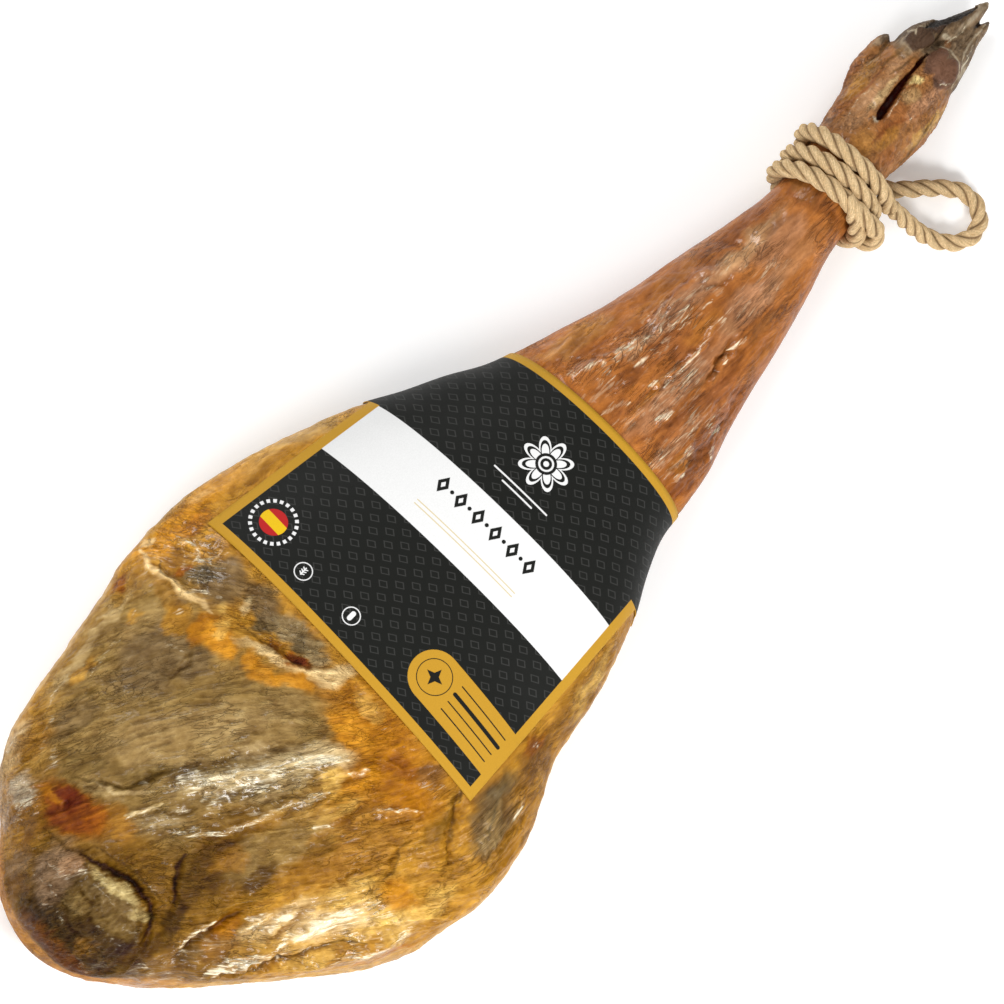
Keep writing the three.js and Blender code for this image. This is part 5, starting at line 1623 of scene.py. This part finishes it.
def curve_through(points, spacing):
    """Centripetal Catmull-Rom curve through points, sampled evenly."""
    p = np.asarray(points, float)
    p = np.vstack([2 * p[0] - p[1], p, 2 * p[-1] - p[-2]])
    gaps = np.maximum(np.linalg.norm(np.diff(p, axis=0), axis=1) ** 0.5, 1e-4)
    dense = []
    for i in range(1, len(p) - 2):
        t0, t1, t2 = gaps[i - 1], gaps[i], gaps[i + 1]
        m1 = ((p[i] - p[i - 1]) / t0 - (p[i + 1] - p[i - 1]) / (t0 + t1) + (p[i + 1] - p[i]) / t1) * t1
        m2 = ((p[i + 1] - p[i]) / t1 - (p[i + 2] - p[i]) / (t1 + t2) + (p[i + 2] - p[i + 1]) / t2) * t1
        s = np.linspace(0, 1, 24, endpoint=False)[:, None]
        dense.append(p[i] + s * m1 + s ** 2 * (3 * (p[i + 1] - p[i]) - 2 * m1 - m2)
                     + s ** 3 * (2 * (p[i] - p[i + 1]) + m1 + m2))
    dense = np.vstack(dense + [p[-2][None]])
    arc = np.concatenate([[0], np.cumsum(np.linalg.norm(np.diff(dense, axis=0), axis=1))])
    at = np.linspace(0, arc[-1], max(int(round(arc[-1] / spacing)), 8) + 1)
    return np.stack([np.interp(at, arc, dense[:, k]) for k in range(3)], -1), at


def frames_along(path):
    """Unit tangents and two unit sides along a path, without twist."""
    tangent = unit(np.gradient(path, axis=0))
    side = np.empty_like(path)
    side[0] = unit(np.cross(tangent[0], (0.3, 0.2, 1.0)))
    for i in range(1, len(path)):
        side[i] = unit(side[i - 1] - tangent[i] * (side[i - 1] @ tangent[i]))
    return tangent, side, np.cross(tangent, side)


def make_rope(name, points, diameter, material):
    """Three-strand rope: one skin whose outline is three strands, turned once for each lay length."""
    path, arc = curve_through(points, ROPE_SPACING)
    _, side, other = frames_along(path)
    angle = np.arange(ROPE_SIDES) / ROPE_SIDES * 2 * math.pi
    lobe = (angle + math.pi / 3) % (2 * math.pi / 3) - math.pi / 3
    strand = STRAND_SHARE * diameter / 2
    centre = diameter / 2 - strand
    radius = centre * np.cos(lobe) + np.sqrt(strand ** 2 - (centre * np.sin(lobe)) ** 2)
    twist = arc / LAY_LENGTH * 2 * math.pi
    turn = angle[None] + twist[:, None]
    out = side[:, None] * np.cos(turn)[..., None] + other[:, None] * np.sin(turn)[..., None]
    place = np.stack([np.broadcast_to(arc[:, None], turn.shape).ravel(), np.tile(angle * diameter / 2, len(arc)),
                      np.zeros(turn.size)], -1)
    rough = 1 + 0.035 * cell_noise(place / 3, 7) + 0.03 * cell_noise(place / 0.9, 9)
    rings = path[:, None] + out * (radius[None] * rough.reshape(turn.shape))[..., None]
    mesh = make_mesh(name, rings.reshape(-1, 3), capped(len(path), ROPE_SIDES))
    # Where the outline dips between the strands; the material paints shade there.
    groove = smooth_step(0.84, 0.66, radius / (diameter / 2))
    set_value(mesh, "groove", np.tile(groove, len(path)))
    yarn = np.stack([np.broadcast_to(arc[:, None] * 0.25, turn.shape), np.cos(3 * angle)[None] * 3 + 0 * turn,
                     np.broadcast_to(lobe[None] * 6 - arc[:, None] * 0.35, turn.shape)], -1)
    set_vector(mesh, "lay", yarn.reshape(-1, 3))
    mesh.materials.append(material)
    return link(name, mesh), path, arc[-1]


def turns_points():
    lead = unit(np.subtract(LOOP[1], EXIT))
    ends = [EXIT - lead * (TOUCH_GAP + END_PIECE), EXIT - lead * TOUCH_GAP]
    return np.vstack([TAIL, on_shank(TURNS[0]), on_shank(finer(TURNS)), BIGHT, on_shank(TURNS_ON[0]),
                      on_shank(finer(TURNS_ON)), ends])


# Floor and lights

FLOOR_GLOW = 0.16                 # keeps the shadows on the floor pale
WORLD_LIGHT = 0.52
LAMP_TARGET = (-0.08, 0, 0.04)


def make_floor():
    bpy.ops.mesh.primitive_plane_add(size=12, location=(0, 0, 0))
    floor = bpy.context.object
    floor.name = "floor"
    g = Graph("floor")
    mottle = g.noise(g.node("TexCoord", "Object"), 3, 2)
    colour = g.mix(mottle, (0.93, 0.93, 0.93, 1), (0.95, 0.95, 0.95, 1))
    floor.data.materials.append(g.finish(Base_Color=colour, Roughness=0.9, Emission_Color=(1, 1, 1, 1),
                                         Emission_Strength=FLOOR_GLOW))


def area_light(name, place, size, power):
    data = bpy.data.lights.new(name, "AREA")
    data.energy = power
    data.size = size
    lamp = link(name, data)
    lamp.location = place
    lamp.rotation_mode = "QUATERNION"
    lamp.rotation_quaternion = (Vector(LAMP_TARGET) - Vector(place)).to_track_quat("-Z", "Y")


# name, place, size in metres, power in watts
BOXES = [("near_box", (-0.30, -1.10, 1.0), 0.42, 17.0), ("far_box", (0.45, 1.05, 1.0), 0.42, 9.0),
         ("end_box", (-1.15, 0.1, 1.2), 0.45, 9.0)]


def make_light():
    world = bpy.data.worlds.new("studio")
    world.use_nodes = True
    world.node_tree.nodes["Background"].inputs["Color"].default_value = (1, 1, 1, 1)
    world.node_tree.nodes["Background"].inputs["Strength"].default_value = WORLD_LIGHT
    bpy.context.scene.world = world
    for name, place, size, power in BOXES:
        area_light(name, place, size, power)
    bpy.context.scene.view_settings.view_transform = "Standard"


make_camera()
make_floor()
make_light()
meat = meat_material()
body = make_body(meat)
foot = make_foot(meat)
label = make_label()
hemp = rope_material()
turns, _, _ = make_rope("rope_turns_laid", turns_points(), ROPE_D * FULL, hemp)
loop, loop_path, loop_length = make_rope("rope_loop_laid", LOOP, LOOP_D, hemp)
for piece, node, slot in (*((part, "ham", "ham") for part in [*body, foot]), (label, "label", "label"),
                          (turns, "rope_turns", "rope"), (loop, "rope_loop", "rope")):
    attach(piece, "root")
    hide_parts(node)
